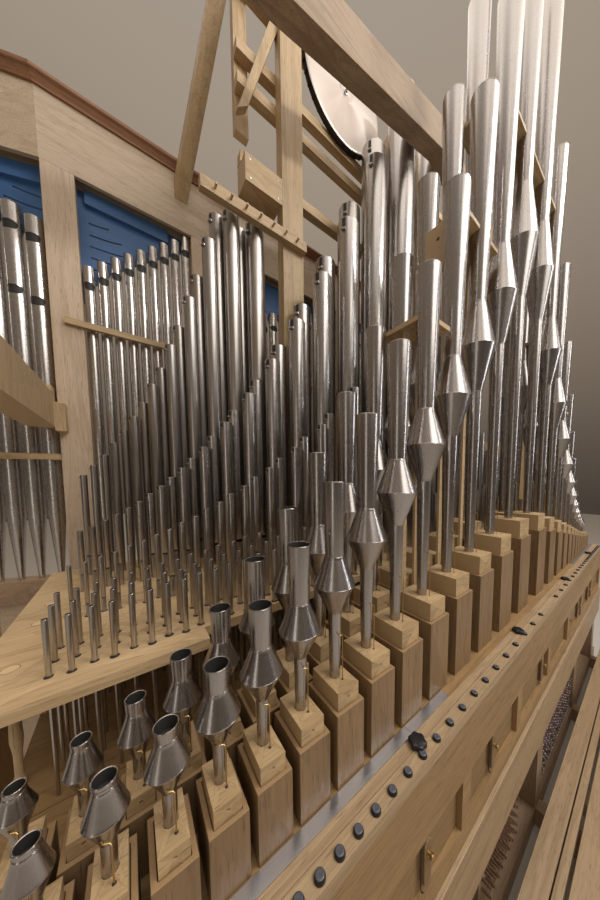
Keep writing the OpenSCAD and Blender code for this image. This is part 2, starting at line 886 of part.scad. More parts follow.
// Boards with holes that carry the tracker rods, standing on the sills
module rod_registers() {
  color("tan")
    for (b = [apron_in + rod_inset, chest_depth - post + rod_inset])
      difference() {
        board(rod_x0 - rod_edge, rod_x0 + (rod_rows[0] - 1) * rod_step + rod_edge, b, b + rod_board, sill_h,
          rod_z0 + (rod_rows[1] - 1) * rod_step + rod_edge);
        for (i = [0:rod_rows[0] - 1])
          for (j = [0:rod_rows[1] - 1])
            place(rod_x0 + i * rod_step, b - 1, rod_z0 + j * rod_step)
              rotate([90, 0, 0])
                cylinder(d = rod_d + 2 * pin_gap, h = rod_board + 2);
      }
}

// Bundle of thin rods that runs under the chest
module rods() {
  color("saddlebrown")
    for (i = [0:rod_rows[0] - 1])
      for (j = [0:rod_rows[1] - 1])
        place(rod_x0 + i * rod_step, rod_start, rod_z0 + j * rod_step)
          rotate([90, 0, 0])
            cylinder(d = rod_d, h = chest_depth - 2 * rod_start);
}

// Case front: posts between the bays
module front_posts() {
  color("wheat")
    union() {
      for (x = front_x)
        board(x - front_post_w / 2, x + front_post_w / 2, front_d, front_d + front_post_d, sill_h, panel_low);
      for (s = [-1, 1])
        at_end(s)
          translate([end_bay, -front_post_d, 0])
            cube([end_post_w, front_post_d, panel_low]);
    }
}

// The end bays swing forward from the outer posts and are scribed against them
module at_end(s) {
  mirror([s < 0 ? 1 : 0, 0, 0])
    intersection() {
      translate([front_side, y0 - front_d, 0])
        rotate([0, 0, -end_turn])
          children();
      translate([front_side, y0 - front_d - end_len, -1])
        cube([end_len + 40, 2 * end_len, front_top + 2]);
    }
}

// Beam the front pipes stand on
module impost() {
  color("tan")
    union() {
      for (i = [0:3])
        board(front_x[i] + front_post_w / 2, front_x[i + 1] - front_post_w / 2, front_d,
          front_d + front_post_d, impost_top - impost_h, impost_top);
      for (s = [-1, 1])
        at_end(s)
          translate([-end_lean * 2, -front_post_d, impost_top - impost_h])
            cube([end_bay + end_lean * 2, front_post_d, impost_h]);
    }
}

// Plain panels that close the case under the impost
module case_panels() {
  color("burlywood")
    union() {
      for (i = [0:3])
        board(front_x[i] + front_post_w / 2, front_x[i + 1] - front_post_w / 2, front_d + panel_in,
          front_d + panel_in + panel_t, sill_h, impost_top - impost_h);
      for (s = [-1, 1])
        at_end(s)
          translate([-end_lean * 2, -panel_in - panel_t, 0])
            cube([end_bay + end_lean * 2, panel_t, impost_top - impost_h]);
    }
}

// Plywood frieze over the bays, an inner and an outer skin
module frieze() {
  color("wheat")
    union() {
      for (b = [front_d, front_d + front_post_d - ply])
        board(-front_side, front_side, b, b + ply, panel_low,
          front_top - cornice_h);
      for (s = [-1, 1])
        at_end(s)
          for (b = [0, front_post_d - ply])
            translate([-end_lean * 2, -b - ply, panel_low])
              cube([end_len + end_lean * 2, ply, front_top - cornice_h - panel_low]);
    }
}

// Moulded cornice in three lengths with mitred joints, the same profile inside and outside
module cornice() {
  color("sienna")
    for (s = [0, 1])
      mirror([s, 0, 0]) {
        if (s == 0)
          translate([0, y0 - front_d, 0])
            intersection() {
              translate([-front_side - cornice_in, 0, 0])
                cornice_run(2 * (front_side + cornice_in));
              mitre_cut(-front_side, front_side);
            }
        translate([front_side, y0 - front_d, 0])
          rotate([0, 0, -end_turn])
            intersection() {
              translate([-cornice_in, 0, 0])
                cornice_run(end_len + cornice_in);
              mirror([1, 0, 0])
                mitre_cut(-2 * end_len, 0);
            }
      }
}

// Plan shape between two mitres, the first one beyond the piece where it ends square
module mitre_cut(x0, x1) {
  slope = tan(end_turn / 2);
  out = front_post_d + cornice_out + 1;
  in = cornice_in + 1;
  linear_extrude(height = front_top + 1)
    polygon([[x0 - in * slope + mitre_gap, in], [x1 + in * slope - mitre_gap, in],
      [x1 - out * slope - mitre_gap, -out], [x0 + out * slope + mitre_gap, -out]]);
}

function reverse(v) = [for (i = [len(v) - 1:-1:0]) v[i]];

// Profile of one side of the cornice: fillet, cove, round and square edge
function cornice_side(out) = concat([[0, 0]],
  [for (a = [0:15:90]) [out * (0.75 - 0.45 * cos(a)), 26 * sin(a) - 14 * sin(a) * cos(a)]],
  [[out * 0.95, 30], [out, 34], [out, cornice_h]]);

module cornice_run(len) {
  translate([0, 0, front_top - cornice_h])
    rotate([90, 0, 90])
      linear_extrude(height = len)
        polygon(concat(cornice_side(cornice_in),
          [for (p = reverse(cornice_side(cornice_out))) [-front_post_d - p[0], p[1]]]));
}

// One pipe of the case front: mouth on the front side, tuning slots on the inner side
module front_pipe(r, top, slots) {
  body = top - impost_top - front_foot;
  difference() {
    rotate_extrude()
      polygon([[front_tip - 2, 0], [front_tip, 0], [r, front_foot], [r, front_foot + body],
        [r - front_wall, front_foot + body], [r - front_wall, front_foot + 2], [0, front_foot + 2],
        [0, front_foot], [r - front_wall, front_foot]]);
    translate([-0.62 * r, -1.4 * r, front_foot + 2])
      cube([1.24 * r, r, 0.5 * r]);
    for (z = slots)
      translate([-0.6 * r, 0.3 * r, top - impost_top - z])
        cube([1.2 * r, r, slot_h]);
  }
}

// Pipes of the narrow bays and of the end bays, where each pipe has two slots
module front_pipes_outer() {
  color("silver")
    for (s = [-1, 1]) {
      for (i = [0:narrow_count - 1])
        place(s * (front_outer_x - front_post_w / 2 - narrow_pitch * (i + 0.5)), pipe_axis, impost_top)
          front_pipe(front_pipe_d / 2 + 0.2 * i, front_low_top + front_step * i, [slot_low[0] + slot_h]);
      mirror([s < 0 ? 1 : 0, 0, 0])
        translate([front_side, y0 - front_d, impost_top])
          rotate([0, 0, -end_turn])
            for (i = [0:end_count - 1])
              translate([end_lean + end_pitch * (i + 0.5), front_d - pipe_axis, 0])
                front_pipe(end_pitch * pipe_share, end_low_top + end_step * i,
                  [slot_low[2] + slot_h, slot_low[3] + slot_h]);
    }
}

// Pipes of the two wide bays
module front_pipes_wide() {
  color("silver")
    for (s = [-1, 1])
      for (i = [0:wide_count - 1])
        place(s * (front_x[3] - front_post_w / 2 - wide_pitch * (i + 0.5)), pipe_axis, impost_top)
          front_pipe(wide_pitch * pipe_share, front_low_top + wide_step * i, [slot_low[1] + slot_h]);
}

// Blue board that closes the top of a bay; its lower edge climbs with the pipes
module shade(w, drop, rise_by, flip) {
  mirror([flip, 0, 0])
    rotate([90, 0, 0])
      difference() {
        linear_extrude(height = shade_t)
          polygon(concat([[0, panel_low], [0, panel_low - drop - shade_horn[1]],
              [shade_horn[0], panel_low - drop - shade_horn[1]]],
            [for (i = [0:10]) [shade_horn[0] + (w - shade_horn[0]) * i / 10,
              panel_low - drop + rise_by * pow(i / 10, 0.8)]],
            [[w, panel_low]]));
        for (i = [0:slot_count - 1])
          translate([slot_at[0], panel_low - drop + slot_at[1] + slot_step * i, -1])
            shade_slot(w * (0.16 + 0.1 * (slot_count - 1 - i)));
      }
}

// One slot of a shade: a shallow arc of constant width
module shade_slot(len) {
  rad = 4 * len;
  difference() {
    translate([-6, rad, 0])
      cylinder(r = rad, h = shade_t + 2, $fn = 180);
    translate([-6, rad, -1])
      cylinder(r = rad - slot_w, h = shade_t + 4, $fn = 180);
    translate([-6 - 2 * rad, -1, -1])
      cube([2 * rad + 6, 3 * rad, shade_t + 4]);
    translate([len, -1, -1])
      cube([2 * rad, 3 * rad, shade_t + 4]);
    translate([-1, rad, -1])
      cube([len + 2, 2 * rad, shade_t + 4]);
  }
}

// Shades of all bays, each outer one with a thick batten along its top
module shades() {
  color("royalblue")
    union() {
      for (s = [0, 1])
        mirror([s, 0, 0]) {
          translate([front_outer_x - front_post_w / 2, y0 - shade_back, 0])
            shade(front_pitch - front_post_w, shade_drop[0], shade_drop[1], 1);
          translate([front_x[3] - front_post_w / 2, y0 - shade_back, 0])
            shade(front_x[3] - front_post_w, shade_drop[0], shade_drop[1], 1);
        }
      for (s = [-1, 1]) {
        board(s * (front_outer_x - front_post_w / 2 - batten_run[0]),
          s * (front_outer_x - front_post_w / 2 - batten_run[1]),
          shade_back - batten_t, shade_back, panel_low - batten_h, panel_low);
        at_end(s)
          translate([0, front_d - shade_back, 0])
            union() {
              translate([-end_lean, 0, 0])
                shade(end_bay + end_lean, end_shade_drop[0], end_shade_drop[1], 0);
              translate([end_lean, 0, panel_low - batten_h])
                cube([end_bay - 2 * end_lean, batten_t, batten_h]);
            }
      }
    }
}

long_sills();
cross_sills();
low_posts();
bearers();
walk_brackets();
walk_plank();
pin_panel();
rod_registers();
rods();
chest();
chest_panels();
apron();
knob_rail();
knobs();
strips();
toe_boards();
boots(true);  // boots_front
boots(false);  // boots_rear
heads(true);  // heads_front
heads(false);  // heads_rear
resonators(true);  // resonators_front
resonators(false);  // resonators_rear
stays();
rack_front();
rack_back();
rack_pillars();
mixture_rows();
octave_row();
principal_row();
double_row();
inner_posts();
rails();
braces();
disc();
disc_rim();
end_frames();
raking_beams();
front_posts();
impost();
case_panels();
frieze();
cornice();
front_pipes_outer();
front_pipes_wide();
shades();
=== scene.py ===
import math
import bmesh
import bpy
import numpy as np
from mathutils import Matrix, Vector


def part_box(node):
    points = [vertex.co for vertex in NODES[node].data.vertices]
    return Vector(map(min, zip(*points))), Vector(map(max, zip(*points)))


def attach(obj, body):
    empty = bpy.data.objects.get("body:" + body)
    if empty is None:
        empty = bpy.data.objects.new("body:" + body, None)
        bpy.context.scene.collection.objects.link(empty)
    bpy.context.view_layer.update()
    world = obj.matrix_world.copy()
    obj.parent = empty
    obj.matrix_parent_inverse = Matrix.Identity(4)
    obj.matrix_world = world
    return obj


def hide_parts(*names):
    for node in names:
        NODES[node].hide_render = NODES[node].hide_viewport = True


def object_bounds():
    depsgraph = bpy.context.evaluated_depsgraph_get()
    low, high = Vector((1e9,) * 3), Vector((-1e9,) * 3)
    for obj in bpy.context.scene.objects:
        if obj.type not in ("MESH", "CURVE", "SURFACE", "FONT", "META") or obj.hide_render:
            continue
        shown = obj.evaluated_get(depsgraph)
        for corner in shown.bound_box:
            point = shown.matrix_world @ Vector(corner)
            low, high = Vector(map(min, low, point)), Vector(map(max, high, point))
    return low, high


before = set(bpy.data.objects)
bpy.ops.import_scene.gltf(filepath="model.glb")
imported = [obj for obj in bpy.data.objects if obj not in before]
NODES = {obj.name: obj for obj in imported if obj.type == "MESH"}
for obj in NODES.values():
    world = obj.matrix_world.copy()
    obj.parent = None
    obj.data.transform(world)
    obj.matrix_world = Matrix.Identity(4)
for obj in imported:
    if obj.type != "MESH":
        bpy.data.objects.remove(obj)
CAD_BOX = [[float(c) for c in corner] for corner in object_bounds()]
TAU = 2 * math.pi
X, Y, Z = 0, 1, 2

# Planes of the frame that the camera and the fittings are placed from, in metres
CHEST_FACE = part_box("chest")[1][Y]
RAIL_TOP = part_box("knob_rail")[1][Z]
RACK_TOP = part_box("rack_front")[1][Z]
# The outer bays of the case front stand past this x, and are turned by this angle.
END_BAY_X = 1.68
END_BAY_TURN = math.radians(20)

# Camera: a pinhole fitted to the photo, with its lengths in pixels of the photo
PHOTO_WIDTH, PHOTO_HEIGHT = 600, 900
FOCAL, CENTRE_X, CENTRE_Y = 256.107, 334.69, 495.44
YAW, PITCH, ROLL = math.radians(38.5655), math.radians(-4.0122), math.radians(0.136)
EYE = Vector((1.4258, CHEST_FACE + 0.2555, 1.6068))
SENSOR = 36.0


def make_camera():
    """Camera at the photo's place, with the photo's focal length and off-centre axis."""
    forward = Vector((-math.sin(YAW) * math.cos(PITCH), -math.cos(YAW) * math.cos(PITCH), math.sin(PITCH)))
    level = forward.cross(Vector((0, 0, 1))).normalized()
    steep = forward.cross(level)
    right = math.cos(ROLL) * level + math.sin(ROLL) * steep
    down = -math.sin(ROLL) * level + math.cos(ROLL) * steep
    data = bpy.data.cameras.new("camera")
    camera = bpy.data.objects.new("camera", data)
    bpy.context.scene.collection.objects.link(camera)
    matrix = Matrix((right, -down, -forward)).transposed().to_4x4()
    matrix.translation = EYE
    camera.matrix_world = matrix
    data.sensor_fit = "AUTO"
    data.sensor_width = SENSOR
    data.lens = FOCAL * SENSOR / PHOTO_HEIGHT
    data.shift_x = -(CENTRE_X - PHOTO_WIDTH / 2) / PHOTO_HEIGHT
    data.shift_y = (CENTRE_Y - PHOTO_HEIGHT / 2) / PHOTO_HEIGHT
    data.clip_start = 0.01
    data.clip_end = 60
    bpy.context.scene.camera = camera


# Materials


class Net:
    """Short forms for adding the nodes of one material and joining them."""

    def __init__(self, tree):
        self.tree = tree

    def add(self, kind, **settings):
        node = self.tree.nodes.new(kind)
        for name, value in settings.items():
            setattr(node, name, value)
        return node

    def feed(self, socket, value):
        """Links an output to a socket, or writes a number, a vector or a colour on it."""
        if isinstance(value, bpy.types.NodeSocket):
            self.tree.links.new(value, socket)
        elif isinstance(value, tuple) and len(socket.default_value) == 4:
            socket.default_value = (*value, 1.0)
        else:
            socket.default_value = value

    def calc(self, operation, a, b=None):
        node = self.add("ShaderNodeMath", operation=operation)
        self.feed(node.inputs[0], a)
        if b is not None:
            self.feed(node.inputs[1], b)
        return node.outputs[0]

    def vector(self, operation, a, b):
        node = self.add("ShaderNodeVectorMath", operation=operation)
        self.feed(node.inputs[0], a)
        self.feed(node.inputs[1], b)
        return node.outputs[0]

    def same(self, value):
        """A vector with one value on all three axes."""
        node = self.add("ShaderNodeCombineXYZ")
        for socket in node.inputs:
            self.feed(socket, value)
        return node.outputs[0]

    def part(self, vector, axis):
        """One axis of a vector."""
        node = self.add("ShaderNodeSeparateXYZ")
        self.feed(node.inputs[0], vector)
        return node.outputs[axis]

    def place(self):
        """Object coordinates in metres."""
        return self.add("ShaderNodeTexCoord").outputs["Object"]

    def around(self):
        """UV map of a turned piece: x runs once round it and y along it in metres."""
        return self.add("ShaderNodeUVMap", uv_map="pipe").outputs[0]

    def surface_data(self, name):
        return self.add("ShaderNodeNewGeometry").outputs[name]

    def own_shift(self, reach):
        """A shift of the pattern that differs for each loose board or pipe."""
        return self.same(self.calc("MULTIPLY", self.surface_data("Random Per Island"), reach))

    def noise(self, at, scale, detail=4.0, roughness=0.6, distortion=0.0):
        node = self.add("ShaderNodeTexNoise")
        self.feed(node.inputs["Vector"], at)
        self.feed(node.inputs["Scale"], scale)
        self.feed(node.inputs["Detail"], detail)
        self.feed(node.inputs["Roughness"], roughness)
        self.feed(node.inputs["Distortion"], distortion)
        return node.outputs["Fac"]

    def ramp(self, share, stops):
        """Colour by share, through stops of (share, colour)."""
        node = self.add("ShaderNodeValToRGB")
        elements = node.color_ramp.elements
        while len(elements) < len(stops):
            elements.new(0.5)
        for element, (position, color) in zip(elements, stops):
            element.position = position
            element.color = (*color, 1.0)
        self.feed(node.inputs["Fac"], share)
        return node.outputs["Color"]

    def span(self, value, low, high, to_low, to_high):
        """The range from low to high, stretched to a new range and held at its ends."""
        node = self.add("ShaderNodeMapRange")
        for socket, number in zip(node.inputs, (value, low, high, to_low, to_high)):
            self.feed(socket, number)
        return node.outputs[0]

    def mix(self, share, a, b, blend="MIX"):
        node = self.add("ShaderNodeMix", data_type="RGBA", blend_type=blend)
        self.feed(node.inputs[0], share)
        self.feed(node.inputs[6], a)
        self.feed(node.inputs[7], b)
        return node.outputs[2]

    def tint(self, color, pattern, low, high, amount, other):
        """Lays the other colour over a colour where the pattern rises from low to high."""
        return self.mix(self.span(pattern, low, high, 0.0, amount), color, other)

    def bump(self, surface, height, strength, distance):
        node = self.add("ShaderNodeBump")
        self.feed(node.inputs["Strength"], strength)
        self.feed(node.inputs["Distance"], distance)
        self.feed(node.inputs["Height"], height)
        self.feed(surface.inputs["Normal"], node.outputs[0])


def new_material(name):
    """An empty material, the short forms for its nodes, and its surface."""
    material = bpy.data.materials.new(name)
    material.use_nodes = True
    material.node_tree.nodes.clear()
    net = Net(material.node_tree)
    surface = net.add("ShaderNodeBsdfPrincipled")
    net.feed(net.add("ShaderNodeOutputMaterial").inputs[0], surface.outputs[0])
    return material, net, surface


def shade(color, factor):
    return tuple(min(1, c * factor) for c in color)


def drawn_out(axis, share):
    """Scale of a pattern that is drawn out along one axis, or even where the axis is None."""
    scale = [1.0, 1.0, 1.0]
    if axis is not None:
        scale[axis] = share
    return tuple(scale)


def wood(name, grain, tones, rings=9.0, rough=0.46, seed=0.0, end_grain_and_top_light=1.18, figure=1.0):
    """Planed timber: growth rings, fibres, pores, and end grain on the faces across the grain; on upright pieces these
    faces are the tops, where a lighter end tone is painted top light.
    """
    material, net, surface = new_material(name)
    light, middle, dark = tones
    at = net.vector("MULTIPLY", net.place(), drawn_out(grain, 0.055))
    at = net.vector("ADD", at, net.own_shift(11.0))
    at = net.vector("ADD", at, (seed, seed * 1.7, seed * 0.3))
    broad = net.noise(at, rings, 4.0, 0.55, 0.9 * figure)
    band = net.calc("FRACT", net.calc("MULTIPLY", broad, 6.0 * figure + 2.0))
    band = net.calc("ABSOLUTE", net.calc("SUBTRACT", band, 0.5))
    fibre = net.noise(at, 210.0)
    pore = net.noise(at, 420.0, 2.0, 0.5)
    color = net.ramp(broad, [(0.30, middle), (0.52, light), (0.72, middle)])
    color = net.tint(color, band, 0.30, 0.5, 0.55, dark)
    color = net.tint(color, fibre, 0.40, 0.72, 0.55, shade(middle, 0.80))
    color = net.tint(color, pore, 0.60, 0.70, 0.60, shade(dark, 0.55))
    board_tone = net.span(net.surface_data("Random Per Island"), 0.0, 1.0, 0.88, 1.10)
    color = net.mix(1.0, color, net.same(board_tone), "MULTIPLY")
    # Faces across the grain take the end tone. On upright pieces these are the tops, where a tone above one is painted
    # top light as well as end grain.
    facing = net.calc("ABSOLUTE", net.part(net.surface_data("True Normal"), grain))
    specks = net.noise(net.place(), 700.0, 2.0)
    end_tone_and_top_light = net.tint(shade(light, end_grain_and_top_light), specks, 0.40, 0.70, 0.6, middle)
    color = net.mix(net.span(facing, 0.80, 0.95, 0.0, 1.0), color, end_tone_and_top_light)
    net.feed(surface.inputs["Base Color"], color)
    net.feed(surface.inputs["Roughness"], net.span(fibre, 0.3, 0.7, rough - 0.05, rough + 0.10))
    net.feed(surface.inputs["Specular IOR Level"], 0.42)
    dents = net.calc("MULTIPLY", net.span(pore, 0.58, 0.72, 1.0, 0.0), 0.7)
    net.bump(surface, net.calc("ADD", net.calc("MULTIPLY", fibre, 0.5), dents), 0.28, 0.0006)
    return material


def tin(name, base, rough, warm=(0.80, 0.70, 0.58), streak=1.0):
    """Planed pipe metal: fine lengthwise scratches, clouds, faint stains, and a soldered seam up one side."""
    material, net, surface = new_material(name)
    at, around, shift = net.place(), net.around(), net.own_shift(17.0)
    along = net.vector("ADD", net.vector("MULTIPLY", around, (90.0, 2.2, 1.0)), shift)
    scratch = net.noise(along, 1.6)
    cloud = net.noise(net.vector("ADD", net.vector("MULTIPLY", at, (1.0, 1.0, 0.45)), shift), 9.0)
    stain = net.noise(net.vector("ADD", at, shift), 46.0, 4.0, 0.65)
    from_seam = net.calc("ABSOLUTE", net.calc("SUBTRACT", net.part(around, X), 0.62))
    seam = net.calc("LESS_THAN", from_seam, 0.012)
    color = net.tint(base, cloud, 0.35, 0.70, 0.50, tuple(b * w for b, w in zip(base, warm)))
    color = net.tint(color, scratch, 0.45, 0.75, 0.12 * streak, shade(base, 0.66))
    color = net.tint(color, stain, 0.64, 0.82, 0.12, shade(base, 0.6))
    color = net.mix(net.calc("MULTIPLY", seam, 0.45), color, shade(base, 1.12))
    net.feed(surface.inputs["Base Color"], color)
    net.feed(surface.inputs["Metallic"], 1.0)
    dull = net.span(scratch, 0.3, 0.7, rough - 0.02, rough + 0.04)
    dull = net.calc("ADD", dull, net.span(stain, 0.5, 0.8, 0.0, 0.04))
    dull = net.calc("ADD", dull, net.calc("MULTIPLY", seam, 0.12))
    net.feed(surface.inputs["Roughness"], dull)
    waves = net.noise(net.vector("MULTIPLY", around, (1.0, 6.0, 1.0)), 2.0, 1.0, 0.4)
    height = net.calc("ADD", net.calc("MULTIPLY", waves, 0.25), net.calc("MULTIPLY", scratch, 0.004))
    height = net.calc("ADD", height, net.calc("MULTIPLY", seam, 0.06))
    net.bump(surface, height, 0.006, 0.0006)
    return material


def metal(name, base, rough, scale=60.0, grain=None):
    """Plain metal with fine marks, drawn out along the grain where it is brushed."""
    material, net, surface = new_material(name)
    marks = net.noise(net.vector("MULTIPLY", net.place(), drawn_out(grain, 0.05)), scale)
    net.feed(surface.inputs["Base Color"], net.tint(base, marks, 0.35, 0.75, 0.6, shade(base, 0.62)))
    net.feed(surface.inputs["Metallic"], 1.0)
    net.feed(surface.inputs["Roughness"], net.span(marks, 0.3, 0.7, rough - 0.06, rough + 0.10))
    net.bump(surface, marks, 0.12, 0.0004)
    return material


def plate_metal(name, base):
    """Sheet metal brushed round its middle, so that the sheen fans out from the centre."""
    material, net, surface = new_material(name)
    around = net.around()
    fans = net.noise(net.vector("MULTIPLY", around, (7.0, 0.6, 1.0)), 1.2, 3.0)
    rings = net.noise(net.vector("MULTIPLY", around, (1.5, 160.0, 1.0)), 2.0, 3.0)
    color = net.tint(base, fans, 0.35, 0.70, 0.55, shade(base, 0.72))
    color = net.tint(color, rings, 0.40, 0.75, 0.25, shade(base, 0.8))
    net.feed(surface.inputs["Base Color"], color)
    net.feed(surface.inputs["Metallic"], 1.0)
    net.feed(surface.inputs["Roughness"], net.span(rings, 0.3, 0.7, 0.30, 0.40))
    net.feed(surface.inputs["Anisotropic"], 0.75)
    tangent = net.add("ShaderNodeTangent", direction_type="UV_MAP", uv_map="pipe")
    net.feed(surface.inputs["Tangent"], tangent.outputs[0])
    net.bump(surface, rings, 0.04, 0.0003)
    return material


def paint(name, base, rough, grain=None, bump=0.15, other=0.8, scale=40.0):
    """A painted or plain dull surface, mottled between its colour and a share of it."""
    material, net, surface = new_material(name)
    at = net.vector("MULTIPLY", net.place(), drawn_out(grain, 0.06))
    broad = net.noise(at, scale)
    fine = net.noise(at, scale * 7, 3.0)
    net.feed(surface.inputs["Base Color"], net.tint(base, broad, 0.3, 0.7, 1.0, shade(base, other)))
    net.feed(surface.inputs["Roughness"], net.span(fine, 0.3, 0.7, rough - 0.05, rough + 0.08))
    net.bump(surface, net.calc("ADD", net.calc("MULTIPLY", broad, 0.5), fine), bump, 0.0004)
    return material


# Light, middle and dark tone of each timber
OAK = ((0.360, 0.228, 0.105), (0.300, 0.184, 0.080), (0.215, 0.126, 0.050))
# The recessed chest panels are painted 20 % darker than the chest face: painted shade of the recess.
PANEL = (shade(OAK[0], 0.80), shade(OAK[1], 0.80), OAK[2])
BOOT = ((0.270, 0.172, 0.088), (0.226, 0.140, 0.068), (0.160, 0.094, 0.043))
HEAD = ((0.530, 0.375, 0.205), (0.450, 0.308, 0.158), (0.315, 0.202, 0.095))
PALE = ((0.600, 0.435, 0.250), (0.520, 0.362, 0.198), (0.385, 0.250, 0.125))
# The knob rail and walkway tones below are set darker to stand in for the lesser light that reaches the apron, the
# knob rail and the walkway: painted shade.
RAIL = ((0.440, 0.315, 0.190), (0.375, 0.260, 0.150), (0.270, 0.176, 0.094))
WALK = ((0.400, 0.285, 0.170), (0.340, 0.232, 0.132), (0.240, 0.155, 0.082))
CASE = ((0.670, 0.525, 0.385), (0.600, 0.455, 0.320), (0.475, 0.335, 0.215))
FRAME = ((0.430, 0.300, 0.195), (0.365, 0.248, 0.155), (0.270, 0.170, 0.098))
BEAM = ((0.420, 0.300, 0.195), (0.350, 0.240, 0.150), (0.250, 0.160, 0.090))
PLY = ((0.620, 0.490, 0.355), (0.560, 0.430, 0.300), (0.450, 0.325, 0.210))
PINE = ((0.330, 0.160, 0.080), (0.265, 0.120, 0.055), (0.180, 0.072, 0.032))
STAINED = ((0.130, 0.045, 0.030), (0.095, 0.030, 0.020), (0.050, 0.015, 0.010))
ROD = ((0.150, 0.085, 0.050), (0.105, 0.058, 0.033), (0.060, 0.032, 0.018))

MAT = {
    "oak_x": wood("oak along x", X, OAK, seed=1.0, end_grain_and_top_light=0.92),
    # The recessed panels take the darker copy of the oak: painted shade.
    "oak_panel": wood("oak panels", X, PANEL, seed=3.0, end_grain_and_top_light=0.9),
    # The boots' tops are end grain with a much lighter tone: painted top light as well as end grain.
    "oak_z": wood("oak upright", Z, BOOT, rings=12, seed=2.0, end_grain_and_top_light=1.32, figure=0.6),
    # The knob rail and walkway timber are darker copies: painted shade.
    "rail": wood("knob rail timber", X, RAIL, rings=7, seed=17.0, end_grain_and_top_light=0.95),
    "walk": wood("walkway timber", X, WALK, rings=6, seed=19.0, end_grain_and_top_light=0.9),
    "case_z": wood("case timber upright", Z, CASE, rings=6, seed=18.0, figure=0.7),
    "head": wood("oak head blocks", X, HEAD, rings=16, seed=4.0, end_grain_and_top_light=0.9, figure=0.5),
    "pale_x": wood("pale timber along x", X, PALE, rings=7, seed=5.0, end_grain_and_top_light=0.95),
    "pale_z": wood("pale timber upright", Z, PALE, rings=7, seed=7.0),
    "frame_x": wood("frame timber along x", X, FRAME, rings=6, seed=8.0, end_grain_and_top_light=0.9),
    "frame_y": wood("frame timber along y", Y, FRAME, rings=6, seed=9.0),
    "frame_z": wood("frame timber upright", Z, FRAME, rings=6, seed=10.0),
    "beam_x": wood("beam timber along x", X, BEAM, rings=5, seed=11.0),
    "ply": wood("plywood", X, PLY, rings=3, seed=12.0, figure=1.3),
    "red_pine": wood("red pine", X, PINE, rings=6, seed=13.0),
    "dark_red": wood("stained panel", Z, STAINED, rings=8, seed=14.0, rough=0.4),
    "rod": wood("dark rods", Y, ROD, rings=14, seed=15.0),
    # The front pipe metal is a lighter copy of the pipe metal, for the case front high up, and the reed pipe metal a
    # darker copy, for the low reeds: painted light and painted shade.
    "tin": tin("planed pipe metal", (0.500, 0.482, 0.475), 0.27),
    "lit_front_tin": tin("front pipe metal", (0.620, 0.600, 0.590), 0.26),
    "spotted": tin("rear pipe metal", (0.450, 0.428, 0.412), 0.30, streak=1.2),
    "reed": tin("reed pipe metal", (0.430, 0.408, 0.402), 0.25, warm=(0.86, 0.78, 0.70), streak=0.8),
    # Near-black paint for the insides of pipes, holes and openings: painted shade, not a colour of the metal.
    "painted_bore_shade": paint("dark pipe inside", (0.030, 0.028, 0.026), 0.55, bump=0.1),
    "brass": metal("brass wire", (0.52, 0.36, 0.15), 0.36),
    "steel": metal("brushed strip", (0.66, 0.67, 0.72), 0.36, 40.0, X),
    "wire": metal("bright wire", (0.62, 0.62, 0.62), 0.3),
    "black": paint("black knobs", (0.012, 0.012, 0.014), 0.30, bump=0.04, other=0.7),
    "knob_top": paint("knob tops", (0.085, 0.090, 0.108), 0.30, bump=0.03, other=0.9),
    "black_dull": paint("black ribbed wheel", (0.02, 0.02, 0.022), 0.42, bump=0.2),
    "blue": paint("blue shades", (0.072, 0.190, 0.450), 0.45, grain=X, bump=0.35, other=0.82, scale=26.0),
    "plate": plate_metal("brushed plate", (0.470, 0.410, 0.370)),
    "felt": paint("brown felt", (0.16, 0.07, 0.04), 0.9, bump=0.4),
}

LOOK = {
    "long_sills": "frame_x", "cross_sills": "frame_y", "low_posts": "frame_z", "bearers": "frame_y",
    "walk_brackets": "frame_y", "walk_plank": "walk", "pin_panel": "dark_red", "rod_registers": "frame_x",
    "rods": "rod", "chest": "oak_x", "chest_panels": "oak_panel", "apron": "rail", "knob_rail": "rail",
    "knobs": "black", "strips": "steel", "toe_boards": "oak_x", "boots_front": "oak_z", "boots_rear": "oak_z",
    "heads_front": "head", "heads_rear": "head", "resonators_front": "reed", "resonators_rear": "reed",
    "stays": "pale_x", "rack_front": "pale_x", "rack_back": "pale_x", "rack_pillars": "pale_z",
    "mixture_rows": "tin", "octave_row": "tin", "principal_row": "tin", "double_row": "spotted",
    "inner_posts": "pale_z", "rails": "pale_x", "braces": "pale_z", "disc": "plate", "disc_rim": "black_dull",
    "end_frames": "pale_z", "raking_beams": "beam_x", "front_posts": "case_z", "impost": "frame_x",
    "case_panels": "ply", "frieze": "ply", "cornice": "red_pine", "front_pipes_outer": "tin",
    "front_pipes_wide": "tin", "shades": "blue",
}
BLOCKS = ("boots_front", "boots_rear", "heads_front", "heads_rear")
TIMBERS = ("long_sills", "cross_sills", "low_posts", "bearers", "walk_brackets", "walk_plank", "apron",
           "inner_posts", "end_frames", "raking_beams", "front_posts", "braces", "chest_panels", "impost")


def give_looks():
    for node, look in LOOK.items():
        materials = NODES[node].data.materials
        materials.clear()
        materials.append(MAT[look])


def soften(node, width):
    """Takes the sharp arris off a timber node: welds the imported mesh and adds a small bevel."""
    weld = NODES[node].modifiers.new("weld", "WELD")
    weld.merge_threshold = 0.00002
    arris = NODES[node].modifiers.new("arris", "BEVEL")
    arris.width = width
    arris.segments = 2
    arris.limit_method = "ANGLE"
    arris.angle_limit = math.radians(40)
    arris.harden_normals = True


# Reading the solids of the frame
WELD_STEPS = 1e5
SAME_HEIGHT = 2e-4


